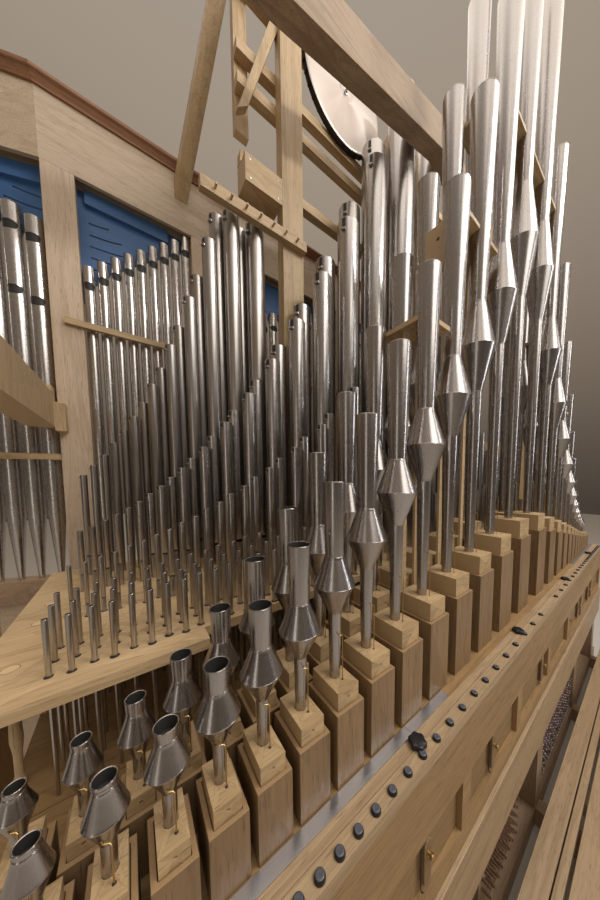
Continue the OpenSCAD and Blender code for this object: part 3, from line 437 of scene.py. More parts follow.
def islands(node):
    """The solids of a CAD node, each as an array of its welded points."""
    mesh = NODES[node].data
    points = np.zeros(len(mesh.vertices) * 3)
    mesh.vertices.foreach_get("co", points)
    rounded = np.round(points.reshape(-1, 3) * WELD_STEPS).astype(np.int64)
    welded, index = np.unique(rounded, axis=0, return_inverse=True)
    edges = np.zeros(len(mesh.edges) * 2, int)
    mesh.edges.foreach_get("vertices", edges)
    edges = index.reshape(-1)[edges.reshape(-1, 2)]
    label = np.arange(len(welded))
    while True:
        lower = np.minimum(label[edges[:, 0]], label[edges[:, 1]])
        merged = label.copy()
        np.minimum.at(merged, edges[:, 0], lower)
        np.minimum.at(merged, edges[:, 1], lower)
        merged = merged[merged]
        if (merged == label).all():
            break
        label = merged
    return [welded[label == solid] / WELD_STEPS for solid in np.unique(label)]


def outer_profile(points):
    """Axis and outer outline (z, radius) of a turned solid, from its corner points."""
    top = points[points[:, Z] > points[:, Z].max() - 1e-4]
    cx, cy = top[:, :2].mean(0)
    for _ in range(3):
        radius = np.hypot(top[:, X] - cx, top[:, Y] - cy)
        rim = top[radius > 0.5 * (radius.min() + radius.max())]
        rows = np.c_[2 * rim[:, X], 2 * rim[:, Y], np.ones(len(rim))]
        cx, cy = np.linalg.lstsq(rows, (rim[:, :2] ** 2).sum(1), rcond=None)[0][:2]
    cx, cy = float(cx), float(cy)
    radius = np.hypot(points[:, X] - cx, points[:, Y] - cy)
    outline = []
    for i in np.argsort(points[:, Z]):
        z, r = float(points[i, Z]), float(radius[i])
        if outline and z - outline[-1][0] < SAME_HEIGHT:
            outline[-1][1] = max(outline[-1][1], r)
        else:
            outline.append([z, r])
    return cx, cy, outline


# Building meshes
def patch(size):
    """UV corners of a small square."""
    return (0, 0), (size, 0), (size, size), (0, size)


class Builder:
    """Collects faces with a UV map and turns them into one object."""

    def __init__(self, name):
        self.name = name
        self.points, self.faces, self.uvs, self.mats = [], [], [], []

    def face(self, corners, uvs, mat=0):
        self.faces.append(corners)
        self.uvs.extend(uvs)
        self.mats.append(mat)

    def circle(self, centre, side, up, radius, seg):
        for j in range(seg):
            angle = TAU * j / seg
            self.points.append(tuple(centre + radius * (math.cos(angle) * side + math.sin(angle) * up)))

    def skin(self, base, seg, runs, mats, skip=None):
        """Faces between circles of seg points, which start at index base. runs are the lengths along the piece,
        mats is one material or a list with one for each row, and skip(row, column) leaves a face open."""
        for i in range(len(runs) - 1):
            low, high = base + i * seg, base + (i + 1) * seg
            mat = mats[i] if isinstance(mats, list) else mats
            for j in range(seg):
                if skip and skip(i, j):
                    continue
                k = (j + 1) % seg
                u, v = j / seg, (j + 1) / seg
                uvs = ((u, runs[i]), (v, runs[i]), (v, runs[i + 1]), (u, runs[i + 1]))
                self.face((low + j, low + k, high + k, high + j), uvs, mat)

    def lathe(self, cx, cy, rings, seg, mats=0, warp=None, skip=None, phase=0.0):
        """Upright turned surface through rings of (z, radius). warp(ring, angle, radius) may change a radius."""
        base = len(self.points)
        runs = [0.0]
        for (z0, r0), (z1, r1) in zip(rings, rings[1:]):
            runs.append(runs[-1] + math.hypot(z1 - z0, r1 - r0))
        for i, (z, radius) in enumerate(rings):
            for j in range(seg):
                angle = phase + TAU * j / seg
                r = warp(i, angle, radius) if warp else radius
                self.points.append((cx + r * math.cos(angle), cy + r * math.sin(angle), z))
        self.skin(base, seg, runs, mats, skip)
        return base

    def spin(self, origin, axis, rings, seg, mat=0):
        """Turned surface on any axis, through rings of (distance along the axis, radius)."""
        origin, axis = Vector(origin), Vector(axis).normalized()
        side = axis.orthogonal().normalized()
        up = axis.cross(side)
        base = len(self.points)
        for along, radius in rings:
            self.circle(origin + along * axis, side, up, radius, seg)
        self.skin(base, seg, [along for along, radius in rings], mat)

    def tube(self, path, radius, seg=8, mat=0):
        """Round wire through points, closed at both ends."""
        path = [Vector(point) for point in path]
        last = len(path) - 1
        base = len(self.points)
        side = (path[1] - path[0]).normalized().orthogonal().normalized()
        runs = []
        for i, point in enumerate(path):
            ahead = (path[min(i + 1, last)] - path[max(i - 1, 0)]).normalized()
            side = (side - side.dot(ahead) * ahead).normalized()
            runs.append(runs[-1] + (point - path[i - 1]).length if i else 0.0)
            self.circle(point, side, ahead.cross(side), radius, seg)
        self.skin(base, seg, runs, mat)
        for row, point, flip in ((0, path[0], True), (last, path[-1], False)):
            centre = len(self.points)
            self.points.append(tuple(point))
            for j in range(seg):
                a, b = base + row * seg + j, base + row * seg + (j + 1) % seg
                self.face((b, a, centre) if flip else (a, b, centre), ((0, 0), (0.1, 0), (0.05, 0.01)), mat)

    def object(self, looks, sharp=32, replaces=None):
        """One object on the root body, with a material slot for each look and edges sharper than the angle kept."""
        mesh = bpy.data.meshes.new(self.name)
        mesh.from_pydata(self.points, [], self.faces)
        layer = mesh.uv_layers.new(name="pipe")
        layer.data.foreach_set("uv", np.array(self.uvs, dtype=np.float32).ravel())
        for look in looks:
            mesh.materials.append(MAT[look])
        mesh.polygons.foreach_set("material_index", self.mats)
        mesh.polygons.foreach_set("use_smooth", [True] * len(self.faces))
        mesh.update()
        mesh.set_sharp_from_angle(angle=math.radians(sharp))
        piece = bpy.data.objects.new(self.name, mesh)
        bpy.context.scene.collection.objects.link(piece)
        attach(piece, "root")
        if replaces:
            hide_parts(replaces)


# Reed pipes
WALL = 0.0012
SOLDER = 0.0016
BEAD = 0.0005
LIP = 0.0004
HEAD_DEPTH = 0.012
# Widest diameter of the solid of place p: CONE_SMALLEST + CONE_GAIN * (p / LAST_PLACE) ** CONE_POWER.
CONE_SMALLEST, CONE_GAIN, CONE_POWER, LAST_PLACE = 0.051, 0.070, 1.2, 27
# How wide the photo shows a pipe, as a share of its solid, by place in the rank (1 treble, 27 middle)
CONE_SHARE = ((1, 7, 13, 19, 27), (0.69, 0.93, 0.99, 1.07, 0.98))
JOINT_SHARE = ((1, 7, 17, 27), (0.78, 0.96, 0.94, 1.04))
TOP_SHARE = ((1, 7, 13, 23), (0.80, 1.07, 1.10, 1.50))
STEM_SHARE = ((1, 9, 21), (1.00, 1.05, 1.52))
# How far the photo shows a pipe above its solid, in metres, and how much further the cones of the front row
LIFT = ((1, 3, 5), (0.016, 0.012, 0.0))
CONE_LIFT = ((1, 5, 7, 11), (0.0, 0.013, 0.012, 0.0))


def by_place(table, place):
    return float(np.interp(place, *table))


class ReedPipe:
    """Heights and radii of one reed pipe: foot, head block top, low and high end of the cones, ring and top."""

    def __init__(self, points, in_front):
        self.cx, self.cy, outline = outer_profile(points)
        foot, foot_r = outline[0]
        top, tube_r = outline[-1]
        ring_r = max(r for z, r in outline)
        widest = [z for z, r in outline if r > ring_r - 3e-4]
        ring = 0.5 * (min(widest) + max(widest))
        low = max((z for z, r in outline if z < ring - 0.003 and r < foot_r + 6e-4), default=ring - 0.02)
        high = min((z for z, r in outline if z > ring + 0.003 and r < tube_r + 6e-4), default=ring + 0.02)
        growth = min(1.0, max(0.0, (2 * ring_r - CONE_SMALLEST) / CONE_GAIN))
        place = LAST_PLACE * growth ** (1 / CONE_POWER)
        lift = by_place(LIFT, place)
        cone_lift = lift + (by_place(CONE_LIFT, place) if in_front else 0.0)
        self.foot, self.head, self.foot_r = foot, foot + HEAD_DEPTH, foot_r
        self.low, self.ring, self.high = low + cone_lift, ring + cone_lift, high + cone_lift
        self.top = top + lift
        self.ring_r = ring_r * by_place(CONE_SHARE, place)
        self.joint_r = tube_r * by_place(JOINT_SHARE, place)
        self.stem_r = foot_r * by_place(STEM_SHARE, place)
        self.top_r = tube_r * by_place(TOP_SHARE, place)

    def outside(self):
        """Rings (z, radius) from the foot to the lip, with a bead of solder at both ends of the cones."""
        low, ring, high, top = self.low, self.ring, self.high, self.top
        stem_r, ring_r, joint_r, top_r = self.stem_r, self.ring_r, self.joint_r, self.top_r
        rise = (ring_r - stem_r) / (ring - low)
        fall = (ring_r - joint_r) / (high - ring)
        d = min(SOLDER, 0.2 * (low - self.head), 0.2 * (top - high))
        rings = [(self.foot, self.foot_r), (self.head, self.foot_r)]
        rings += [(low - 2.5 * d, stem_r), (low - d, stem_r), (low - 0.3 * d, stem_r + BEAD)]
        rings += [(low + d, stem_r + rise * d + 0.0003), (low + 2.5 * d, stem_r + rise * 2.5 * d)]
        rings += [(ring - e, ring_r - rise * e) for e in (0.0026, 0.0010)]
        rings += [(ring - 0.0004, ring_r), (ring + 0.0004, ring_r)]
        rings += [(ring + e, ring_r - fall * e) for e in (0.0010, 0.0026)]
        rings += [(high - 2.5 * d, joint_r + fall * 2.5 * d), (high - d, joint_r + fall * d + 0.0003)]
        rings += [(high + 0.3 * d, joint_r + 0.0006), (high + d, joint_r), (high + 2.5 * d, joint_r)]
        rings += [(top - 0.0040, top_r), (top - 0.0022, top_r)]
        rings += [(top - 0.0016, top_r + LIP), (top - 0.0006, top_r + LIP), (top, top_r)]
        rising = [rings[0]]
        for z, r in rings[1:]:
            rising.append((max(z, rising[-1][0]), r))
        return rising

    def inside(self):
        """Rings (z, radius) down the inside of the tube, to a bottom that closes it at a depth and takes the painted
        shade.
        """
        length = self.top - self.high
        depth = max(min(length, 0.25), 0.015)
        foot_r = self.joint_r
        if length > depth:
            foot_r = self.top_r - (self.top_r - self.joint_r) * depth / length
        bottom = self.top - depth
        rings = [(self.top, self.top_r), (self.top - 0.0003, self.top_r - WALL)]
        rings += [(self.top - depth * 0.25, self.top_r - (self.top_r - foot_r) * 0.25 - WALL)]
        return rings + [(bottom, foot_r - WALL), (bottom, 0.0005)]


def reed_pipes(node):
    """Slender stem, two straight cones soldered base to base, and the widening tube with its turned-over lip."""
    build = Builder(node + "_turned")
    pipes = [ReedPipe(points, node == "resonators_front") for points in islands(node)]
    for pipe in pipes:
        build.lathe(pipe.cx, pipe.cy, pipe.outside(), 64)
        # The inside of the tube and its bottom are painted near black: painted shade.
        build.lathe(pipe.cx, pipe.cy, pipe.inside(), 64, [0, 1, 1, 1])
    # The reeds take the darker copy of the pipe metal: painted shade.
    build.object(("reed", "painted_bore_shade"), 11, node)
    return pipes


# Straight pipes
# Height of a mouth, as a share of the pipe's radius
CUT_UP = 0.42
# Row of faces that a mouth opens
MOUTH_ROW = 4
EAR_FACES = ((0, 1, 5, 4), (1, 2, 6, 5), (2, 3, 7, 6), (3, 2, 1, 0), (4, 5, 6, 7))


class StraightPipe:
    """Axis, heights and radii of one straight pipe. Its foot ends where the full radius begins."""

    def __init__(self, points):
        self.cx, self.cy, outline = outer_profile(points)
        self.foot, self.foot_r = outline[0]
        self.top, self.r = outline[-1]
        self.body = min(z for z, r in outline if r > self.r - 3e-4)

    def ring(self, z):
        """Height and radius of the outside at a height."""
        if z >= self.body:
            return z, self.r
        return z, self.foot_r + (self.r - self.foot_r) * (z - self.foot) / (self.body - self.foot)


def gap(seg, steps, rows=None):
    """Opens steps columns on both sides of +Y, in the given rows or in all."""
    middle = seg // 4
    return lambda i, j: (rows is None or i in rows) and middle - steps <= j < middle + steps


def mouthed_body(build, pipe, seg, steps, wall):
    """Outside of a pipe with an open mouth on the +Y side, its flattened lips, languid and ears."""
    r, half = pipe.r, steps * TAU / seg
    middle = TAU * (seg // 4) / seg
    cut = CUT_UP * r
    lip = pipe.body + cut
    heights = [pipe.foot, pipe.body - 0.95 * r, pipe.body - 0.62 * r, pipe.body - 0.30 * r, pipe.body, lip]
    heights += [lip + 0.25 * r, lip + 0.5 * r, lip + 0.75 * r, lip + r, pipe.top - 0.0005]
    rings = [pipe.ring(z) for z in heights] + [(pipe.top, r - 0.0004)]

    def flatten(i, angle, radius):
        """The lips are chords across the pipe that get narrower away from the mouth."""
        aside = (angle - middle + math.pi) % TAU - math.pi
        z = rings[i][0]
        away = (pipe.body - z) / (0.95 * r) if i <= MOUTH_ROW else (z - pipe.body - cut) / r
        if abs(aside) > half + 1e-6 or away >= 1 or away < -0.01:
            return radius
        reach = half * math.sqrt(max(0.0, 1 - away * away))
        if abs(aside) > reach + 1e-6 or reach < 1e-4:
            return radius
        return radius * math.cos(reach) / math.cos(aside) - (0.0006 if i > MOUTH_ROW else 0.0)

    build.lathe(pipe.cx, pipe.cy, rings, seg, warp=flatten, skip=gap(seg, steps, (MOUTH_ROW,)))
    languid = pipe.body - 0.0004
    build.lathe(pipe.cx, pipe.cy, [(languid, r * 0.97), (languid, 0.0006)], seg)
    # The lining behind the mouth is painted near black: painted shade.
    lining = [(pipe.body, r - wall), (pipe.body + cut + 0.2 * r, r - wall), (pipe.body + cut + 0.8 * r, r - wall)]
    build.lathe(pipe.cx, pipe.cy, lining, seg, 1, skip=gap(seg, steps))
    if r > 0.016:
        ears(build, pipe, middle, half)


def ears(build, pipe, middle, half):
    """Two small plates that stand out beside the mouth."""
    r, cut = pipe.r, CUT_UP * pipe.r
    for hand in (-1, 1):
        angle = middle + hand * (half + 0.04)
        out = Vector((math.cos(angle), math.sin(angle), 0))
        root = Vector((pipe.cx, pipe.cy, 0)) + out * (r * 0.985)
        reach = Vector((math.cos(middle), math.sin(middle), 0)) * (0.26 * r) + out * 0.05 * r
        thick = Vector((-out.y, out.x, 0)) * 0.0006
        base = len(build.points)
        for z, share in ((pipe.body - 0.22 * r, 0.7), (pipe.body + cut + 0.22 * r, 1.0)):
            tip = root + reach * share
            for corner in (root - thick, tip - thick, tip + thick, root + thick):
                build.points.append((corner.x, corner.y, z))
        for corners in EAR_FACES:
            build.face(tuple(base + i for i in corners), patch(0.02))


def flue_pipes(node, seg, look, mouth_steps=0, smallest_mouthed=0.0):
    """Racked pipes with an open top. Those wider than the smallest radius have a mouth of 2 * mouth_steps columns."""
    build = Builder(node + "_turned")
    for points in islands(node):
        pipe = StraightPipe(points)
        r, top = pipe.r, pipe.top
        wall = min(WALL, 0.2 * r)
        if mouth_steps and r > smallest_mouthed:
            mouthed_body(build, pipe, seg, mouth_steps, wall)
        else:
            rings = [(pipe.foot, pipe.foot_r), (pipe.body - 0.0004, r - 0.0001), (pipe.body + 0.0002, r)]
            build.lathe(pipe.cx, pipe.cy, rings + [(top - 0.0004, r), (top, r - 0.0003)], seg)
        # The inside, closed by a bottom at a depth, is painted near black: painted shade.
        depth = min(top - pipe.body, 6 * r) * 0.9
        inner = [(top, r - 0.0003), (top - 0.0001, r - wall), (top - depth * 0.3, r - wall)]
        inner += [(top - depth, r - wall), (top - depth, 0.0003)]
        build.lathe(pipe.cx, pipe.cy, inner, seg, [0, 1, 1, 1])
    build.object((look, "painted_bore_shade"), 34, node)


# Front pipes
CASE_SEG = 32
CASE_WALL = 0.0015
SLOT_STEPS = 6
SLOT_SHARE = 0.92
# How far the rounded lower and upper edge of a slot bulge, as a share of half its height
SLOT_LOW, SLOT_HIGH = -1.3, 0.45


def bay_turn(pipe):
    """Angle of the bay that a front pipe stands in."""
    return -math.copysign(END_BAY_TURN, pipe.cx) if abs(pipe.cx) > END_BAY_X else 0.0


def slot_frame(build, pipe, start, low, high):
    """Closes the opening between two rings down to a rounded slot and gives its edge the pipe's thickness.
    start is the index of the first point of the lower ring."""
    turn = bay_turn(pipe)
    middle = math.pi / 2 + turn
    half = SLOT_STEPS * TAU / CASE_SEG
    centre, half_height = 0.5 * (low + high), 0.5 * (high - low)
    columns = range(CASE_SEG // 4 - SLOT_STEPS, CASE_SEG // 4 + SLOT_STEPS + 1)
    loop = [(start + j, j, SLOT_LOW) for j in columns]
    loop += [(start + CASE_SEG + j, j, SLOT_HIGH) for j in reversed(columns)]
    edge = []
    for _, j, bulge in loop:
        share = max(-1.0, min(1.0, (turn + TAU * j / CASE_SEG - middle) / half))
        rise = math.sqrt(max(0.0, 1 - abs(share) ** 2.6))
        edge.append((middle + SLOT_SHARE * half * share, centre + 0.3 * half_height + bulge * half_height * rise))
    bases = []
    for radius in (pipe.r, pipe.r - CASE_WALL):
        bases.append(len(build.points))
        for angle, z in edge:
            build.points.append((pipe.cx + radius * math.cos(angle), pipe.cy + radius * math.sin(angle), z))
    outer, inner = bases
    uvs = ((0.25, 0.0), (0.26, 0.0), (0.26, 0.01), (0.25, 0.01))
    for a in range(len(loop)):
        b = (a + 1) % len(loop)
        build.face((loop[a][0], loop[b][0], outer + b, outer + a), uvs)
        build.face((outer + a, outer + b, inner + b, inner + a), uvs)


def front_pipes(node):
    """Pipes of the case front: foot, body, open top, and wide tuning slots with rounded edges on the inner side."""
    build = Builder(node + "_turned")
    for points in islands(node):
        pipe = StraightPipe(points)
        r, top, turn = pipe.r, pipe.top, bay_turn(pipe)
        corners = sorted(set(np.round(points[:, Z], 4)))
        corners = [z for z in corners if pipe.body + 0.2 < z < top - 0.01]
        slots = list(zip(corners[0::2], corners[1::2]))
        heights = [pipe.foot, pipe.body]
        for low, high in slots:
            heights += [low - 0.004, high + 0.004]
        rings = [pipe.ring(z) for z in heights + [top - 0.0005]] + [(top, r - 0.0004)]
        rows = range(2, len(heights), 2)
        skip = gap(CASE_SEG, SLOT_STEPS, rows)
        start = build.lathe(pipe.cx, pipe.cy, rings, CASE_SEG, skip=skip, phase=turn)
        for row, (low, high) in zip(rows, slots):
            slot_frame(build, pipe, start + row * CASE_SEG, low, high)
        # The inside, closed by a bottom at a depth, is painted near black: painted shade.
        depth = 0.46 if len(slots) > 1 else 0.20
        inner = [(top, r - 0.0004), (top - 0.0001, r - CASE_WALL), (top - depth, r - CASE_WALL), (top - depth, 0.0003)]
        build.lathe(pipe.cx, pipe.cy, inner, CASE_SEG, [0, 1, 1], phase=turn)
    # The front pipes take the lighter copy of the pipe metal: painted light.
    build.object(("lit_front_tin", "painted_bore_shade"), 34, node)


# Knobs, nuts and small metal
KNOB_HEIGHT = 0.0075
NUT_X = (0.974, 0.340, -0.430, -1.200)
NUT_Y = CHEST_FACE - 0.031
LATCH_X = (0.970, 0.620, 0.100, -0.440, -0.700, -1.060)
LATCH_LOW, LATCH_HIGH, LATCH_HALF, LATCH_THICK = 0.742, 0.848, 0.013, 0.012
LATCH_SEAT = CHEST_FACE - 0.014
PIN_COLUMNS, PIN_ROWS = 26, 11
ROD_COLUMNS, ROD_ROWS = 15, 9


def knobs():
    """Flat black knobs with paler tops, each on a thin stem in the rail."""
    build = Builder("knobs_turned")
    seat = RAIL_TOP
    top = seat + KNOB_HEIGHT
    for points in islands("knobs"):
        cx, cy, outline = outer_profile(points)
        r = max(radius for z, radius in outline)
        rings = [(outline[0][0], 0.003), (seat, 0.003), (seat, r - 0.0008), (seat + 0.0008, r), (seat + 0.0022, r)]
        rings += [(top - 0.0022, r - 0.0010), (top - 0.0008, r - 0.0020), (top, r - 0.0032), (top, r - 0.0040)]
        build.lathe(cx, cy, rings + [(top - 0.0003, 0.0004)], 40, [0, 0, 0, 0, 0, 0, 1, 1, 1])
    build.object(("black", "knob_top"), 50, "knobs")


def tuning_wires(pipes):
    """A brass wire with a cranked end in front of each stem, and a near-black disc of painted shade where it stands in
    the block.
    """
    build = Builder("tuning_wires")
    for pipe in pipes:
        z, stem_r = pipe.head, pipe.foot_r
        bend = 0.040 + 11.9 * max(0.0, stem_r - 0.0069)
        up_the_cone = min(1.0, max(0.0, (z + bend + 0.008 - pipe.low) / (pipe.ring - pipe.low)))
        clear = max(stem_r + 0.008, stem_r + (pipe.ring_r - stem_r) * up_the_cone + 0.0025)
        side = math.copysign(1, pipe.cx)
        x, y = pipe.cx - side * 0.22 * clear, pipe.cy + 0.97 * clear
        path = [(x, y, z - 0.002), (x, y, z + bend * 0.5), (x, y, z + bend)]
        path += [(x + side * 0.0015, y - 0.001, z + bend + 0.002), (x + side * 0.007, y - 0.003, z + bend + 0.003)]
        path += [(x + side * 0.0085, y - 0.0035, z + bend + 0.008)]
        build.tube(path, 0.0010)
        # Painted shade: a flat dark disc in place of the hole.
        build.spin((x, y, z), (0, 0, 1), [(0.0, 0.0024), (0.00025, 0.0022), (0.0003, 0.0004)], 12, 1)
    build.object(("brass", "painted_bore_shade"))


def hand_nuts():
    """Black lobed hand nuts with a washer along the knob rail."""
    build = Builder("hand_nuts")
    z = RAIL_TOP + 0.0016
    washer = [(RAIL_TOP, 0.010), (z, 0.010), (z, 0.004)]
    nut = [(z, 0.009), (z + 0.001, 0.0165), (z + 0.0022, 0.0178), (z + 0.0085, 0.0178), (z + 0.0105, 0.0166)]
    nut += [(z + 0.0114, 0.0140), (z + 0.0114, 0.0006)]

    def lobes(i, angle, radius):
        return radius * (1 + 0.085 * math.cos(6 * angle)) if radius > 0.013 else radius

    for x in NUT_X:
        build.lathe(x, NUT_Y, washer, 24)
        build.lathe(x, NUT_Y, nut, 72, warp=lobes)
    build.object(("black",), 40)


def latch_bar(build, x):
    """Flat wooden bar with round ends, with its front arris taken off."""
    outline = []
    for centre, start in ((LATCH_HIGH - LATCH_HALF, 0.0), (LATCH_LOW + LATCH_HALF, math.pi)):
        for i in range(13):
            angle = start + math.pi * i / 12
            outline.append((x + LATCH_HALF * math.cos(angle), centre + LATCH_HALF * math.sin(angle)))
    base, count = len(build.points), len(outline)
    for depth, share, trim in ((0.0, 1.0, 0.0), (LATCH_THICK - 0.0015, 1.0, 0.0), (LATCH_THICK, 0.90, 0.0012)):
        for px, pz in outline:
            inward = trim if pz < 0.5 * (LATCH_LOW + LATCH_HIGH) else -trim
            build.points.append((x + (px - x) * share, LATCH_SEAT + depth, pz + inward))
    for row in range(2):
        low, high = base + row * count, base + (row + 1) * count
        for j in range(count):
            k = (j + 1) % count
            build.face((low + k, low + j, high + j, high + k), patch(0.01))
    front = range(base + 3 * count - 1, base + 2 * count - 1, -1)
    build.face(tuple(front), ((0.0, 0.0),) * count)


def latches():
    """Wooden latches, with a brass thumb nut on each and a bent black hook beside it."""
    build = Builder("latches")
    thumb_nut = [(0, 0.0075), (0.0012, 0.0075), (0.0012, 0.0035), (0.0045, 0.0035), (0.0052, 0.0062)]
    thumb_nut += [(0.0075, 0.0070), (0.0110, 0.0062), (0.0125, 0.0040), (0.0130, 0.0003)]
    for x in LATCH_X:
        latch_bar(build, x)
        build.spin((x, LATCH_SEAT + LATCH_THICK, LATCH_HIGH - 0.030), (0, 1, 0), thumb_nut, 24, 1)
        hook_x, seat = x + 0.019, LATCH_SEAT
        hook = [(hook_x, seat + 0.001, LATCH_HIGH - 0.012), (hook_x, seat + 0.006, LATCH_HIGH - 0.012)]
        hook += [(hook_x, seat + 0.007, LATCH_HIGH - 0.020), (hook_x, seat + 0.007, LATCH_LOW + 0.006)]
        hook += [(hook_x, seat + 0.009, LATCH_LOW - 0.001), (hook_x - 0.004, seat + 0.011, LATCH_LOW - 0.003)]
        build.tube(hook, 0.0013, 8, 2)
    build.object(("oak_z", "brass", "black"), 35)


def panel_pins():
    """Rows of bright round-headed pins on the dark panel, joined in pairs by thin wire."""
    low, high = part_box("pin_panel")
    face = high[Y]
    build = Builder("panel_pins")
    pin = [(0, 0.0011), (0.007, 0.0011), (0.0072, 0.0030), (0.0088, 0.0034), (0.0104, 0.0026), (0.0110, 0.0003)]
    for j in range(PIN_ROWS):
        for i in range(PIN_COLUMNS):
            x = low[X] + 0.022 + (high[X] - low[X] - 0.044) * i / (PIN_COLUMNS - 1) + (0.008 if j % 2 else -0.006)
            z = low[Z] + 0.035 + (high[Z] - low[Z] - 0.070) * j / (PIN_ROWS - 1)
            if (i + 2 * j) % 7 == 0:
                continue
            build.spin((x, face, z), (0, 1, 0), pin, 10)
            if i % 2 == 0 and i < PIN_COLUMNS - 1:
                wire = [(x, face + 0.004, z), (x + 0.012, face + 0.007, z - 0.004), (x + 0.026, face + 0.004, z)]
                build.tube(wire, 0.0005, 5)
    build.object(("wire",), 40)


def rod_ends():
    """Threaded brass ends with leather nuts on the rods, and thin wires between the rods."""
    build = Builder("rod_ends")
    nut = [(0, 0.001), (0, 0.0046), (0.0038, 0.0046), (0.0042, 0.0040), (0.0042, 0.001)]
    for points in islands("rods"):
        low, high = points.min(0), points.max(0)
        x, y, z = 0.5 * (low[X] + high[X]), high[Y], 0.5 * (low[Z] + high[Z])
        build.tube([(x, y - 0.002, z), (x, y + 0.013, z)], 0.0012)
        build.spin((x, y + 0.002, z), (0, 1, 0), nut, 12, 1)
    low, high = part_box("rods")
    for j in range(ROD_ROWS):
        for i in range(ROD_COLUMNS):
            x = low[X] + 0.0045 + (high[X] - low[X] - 0.009) * (i + 0.5) / ROD_COLUMNS
            z = low[Z] + (high[Z] - low[Z]) * (j + 0.5) / ROD_ROWS + 0.004 * math.sin(2.3 * i + j)
            sag = (x + 0.003 * math.sin(i), 0.5 * (low[Y] + high[Y]), z - 0.004)
            build.tube([(x, high[Y] - 0.050, z), sag, (x, low[Y] + 0.050, z)], 0.0009, 5, 2)
    build.object(("brass", "felt", "rod"), 40)


def tuning_rolls():
    """Rolled tongues below the tops of the racked pipes, each under a dark patch of painted shade that stands for the
    opening it leaves.
    """
    build = Builder("tuning_rolls")
    for node in ("octave_row", "principal_row", "double_row"):
        for points in islands(node):
            cx, cy, outline = outer_profile(points)
            top, r = outline[-1]
            if r < 0.008:
                continue
            facing = math.atan2(0.42, math.copysign(1, cx) * 0.9)
            out = Vector((math.cos(facing), math.sin(facing), 0))
            across = Vector((-out.y, out.x, 0))
            half = min(0.30 * r, 0.010)
            roll = min(0.10 * r, 0.0042) + 0.0010
            z = top - min(1.1 * r, 0.055)
            centre, height = Vector((cx, cy, 0)) + out * (r + roll * 0.75), Vector((0, 0, z))
            build.tube([centre - across * half + height, centre + across * half + height], roll, 14)
            # Painted shade: a dark patch on the pipe in place of the opening.
            base = len(build.points)
            for edge in (z + roll * 0.5, top - 0.004):
                for i in range(5):
                    angle = facing + (-1 + 2 * i / 4) * 0.86 * half / r
                    build.points.append((cx + (r + 0.0002) * math.cos(angle), cy + (r + 0.0002) * math.sin(angle), edge))
            for i in range(base, base + 4):
                build.face((i, i + 1, i + 6, i + 5), patch(0.01), 1)
    build.object(("tin", "painted_bore_shade"), 40)


# The round plate
PLATE_LOW, PLATE_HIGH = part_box("disc")
PLATE_AXIS = (0.5 * (PLATE_LOW[X] + PLATE_HIGH[X]), 0, 0.5 * (PLATE_LOW[Z] + PLATE_HIGH[Z]))


def plate():
    """The round plate, slightly domed, with the UV map that its brushed sheen follows."""
    r, back, front = 0.5 * (PLATE_HIGH[X] - PLATE_LOW[X]), PLATE_LOW[Y], PLATE_HIGH[Y]
    build = Builder("plate_turned")
    rings = [(back, 0.001), (back, r - 0.0006), (back + 0.0006, r), (back + 0.0016, r), (back + 0.0024, r - 0.001)]
    rings += [(back + 0.0050, r - 0.014), (front - 0.0012, 0.5 * r), (front, 0.060), (front, 0.030)]
    build.spin(PLATE_AXIS, (0, 1, 0), rings + [(front - 0.001, 0.0005)], 128)
    build.object(("plate",), 30, "disc")


def plate_fittings():
    """Washer, hexagon nut and threaded end in the middle of the plate, inside the depth of the rails."""
    f = PLATE_HIGH[Y]
    washer = [(f - 0.001, 0.0150), (f + 0.0012, 0.0150), (f + 0.0016, 0.0140), (f + 0.0016, 0.004)]
    nut = [(f + 0.0016, 0.0086), (f + 0.0080, 0.0086), (f + 0.0086, 0.0076), (f + 0.0086, 0.003)]
    thread = [(f + 0.0086, 0.0040), (f + 0.0165, 0.0040), (f + 0.0170, 0.0034), (f + 0.0170, 0.0003)]
    build = Builder("plate_fittings")
    for rings, seg in ((washer, 32), (nut, 6), (thread, 16)):
        build.spin(PLATE_AXIS, (0, 1, 0), rings, seg)
    build.object(("wire",), 30)


# Rack boards, screws and hooks
# Height of the wire hooks on the end bays and on the middle bays
HOOK_Z_END, HOOK_Z_MIDDLE = 1.703, 2.313
# Places of the screws on one half: in the braces, and in the cleats by x and by z
BRACE_SCREWS = ((0.955, -0.344, 3.322), (0.966, -0.344, 3.452), (0.955, -0.344, 3.722))
CLEAT_X, CLEAT_Y, CLEAT_Z = (0.835, 0.965), CHEST_FACE - 0.895, (2.885, 2.962)


def rack_plugs():
    """Round plugs in the rack boards over the turned pillars."""
    build = Builder("rack_plugs")
    for points in islands("rack_pillars"):
        x = 0.5 * (points[:, X].min() + points[:, X].max())
        y = 0.5 * (points[:, Y].min() + points[:, Y].max())
        build.spin((x, y, RACK_TOP), (0, 0, 1), [(0.0001, 0.0128), (0.0001, 0.0118)], 32, 1)
        build.spin((x, y, RACK_TOP), (0, 0, 1), [(0.0, 0.0118), (0.0003, 0.0116), (0.0003, 0.0003)], 32)
    build.object(("pale_z", "felt"), 30)


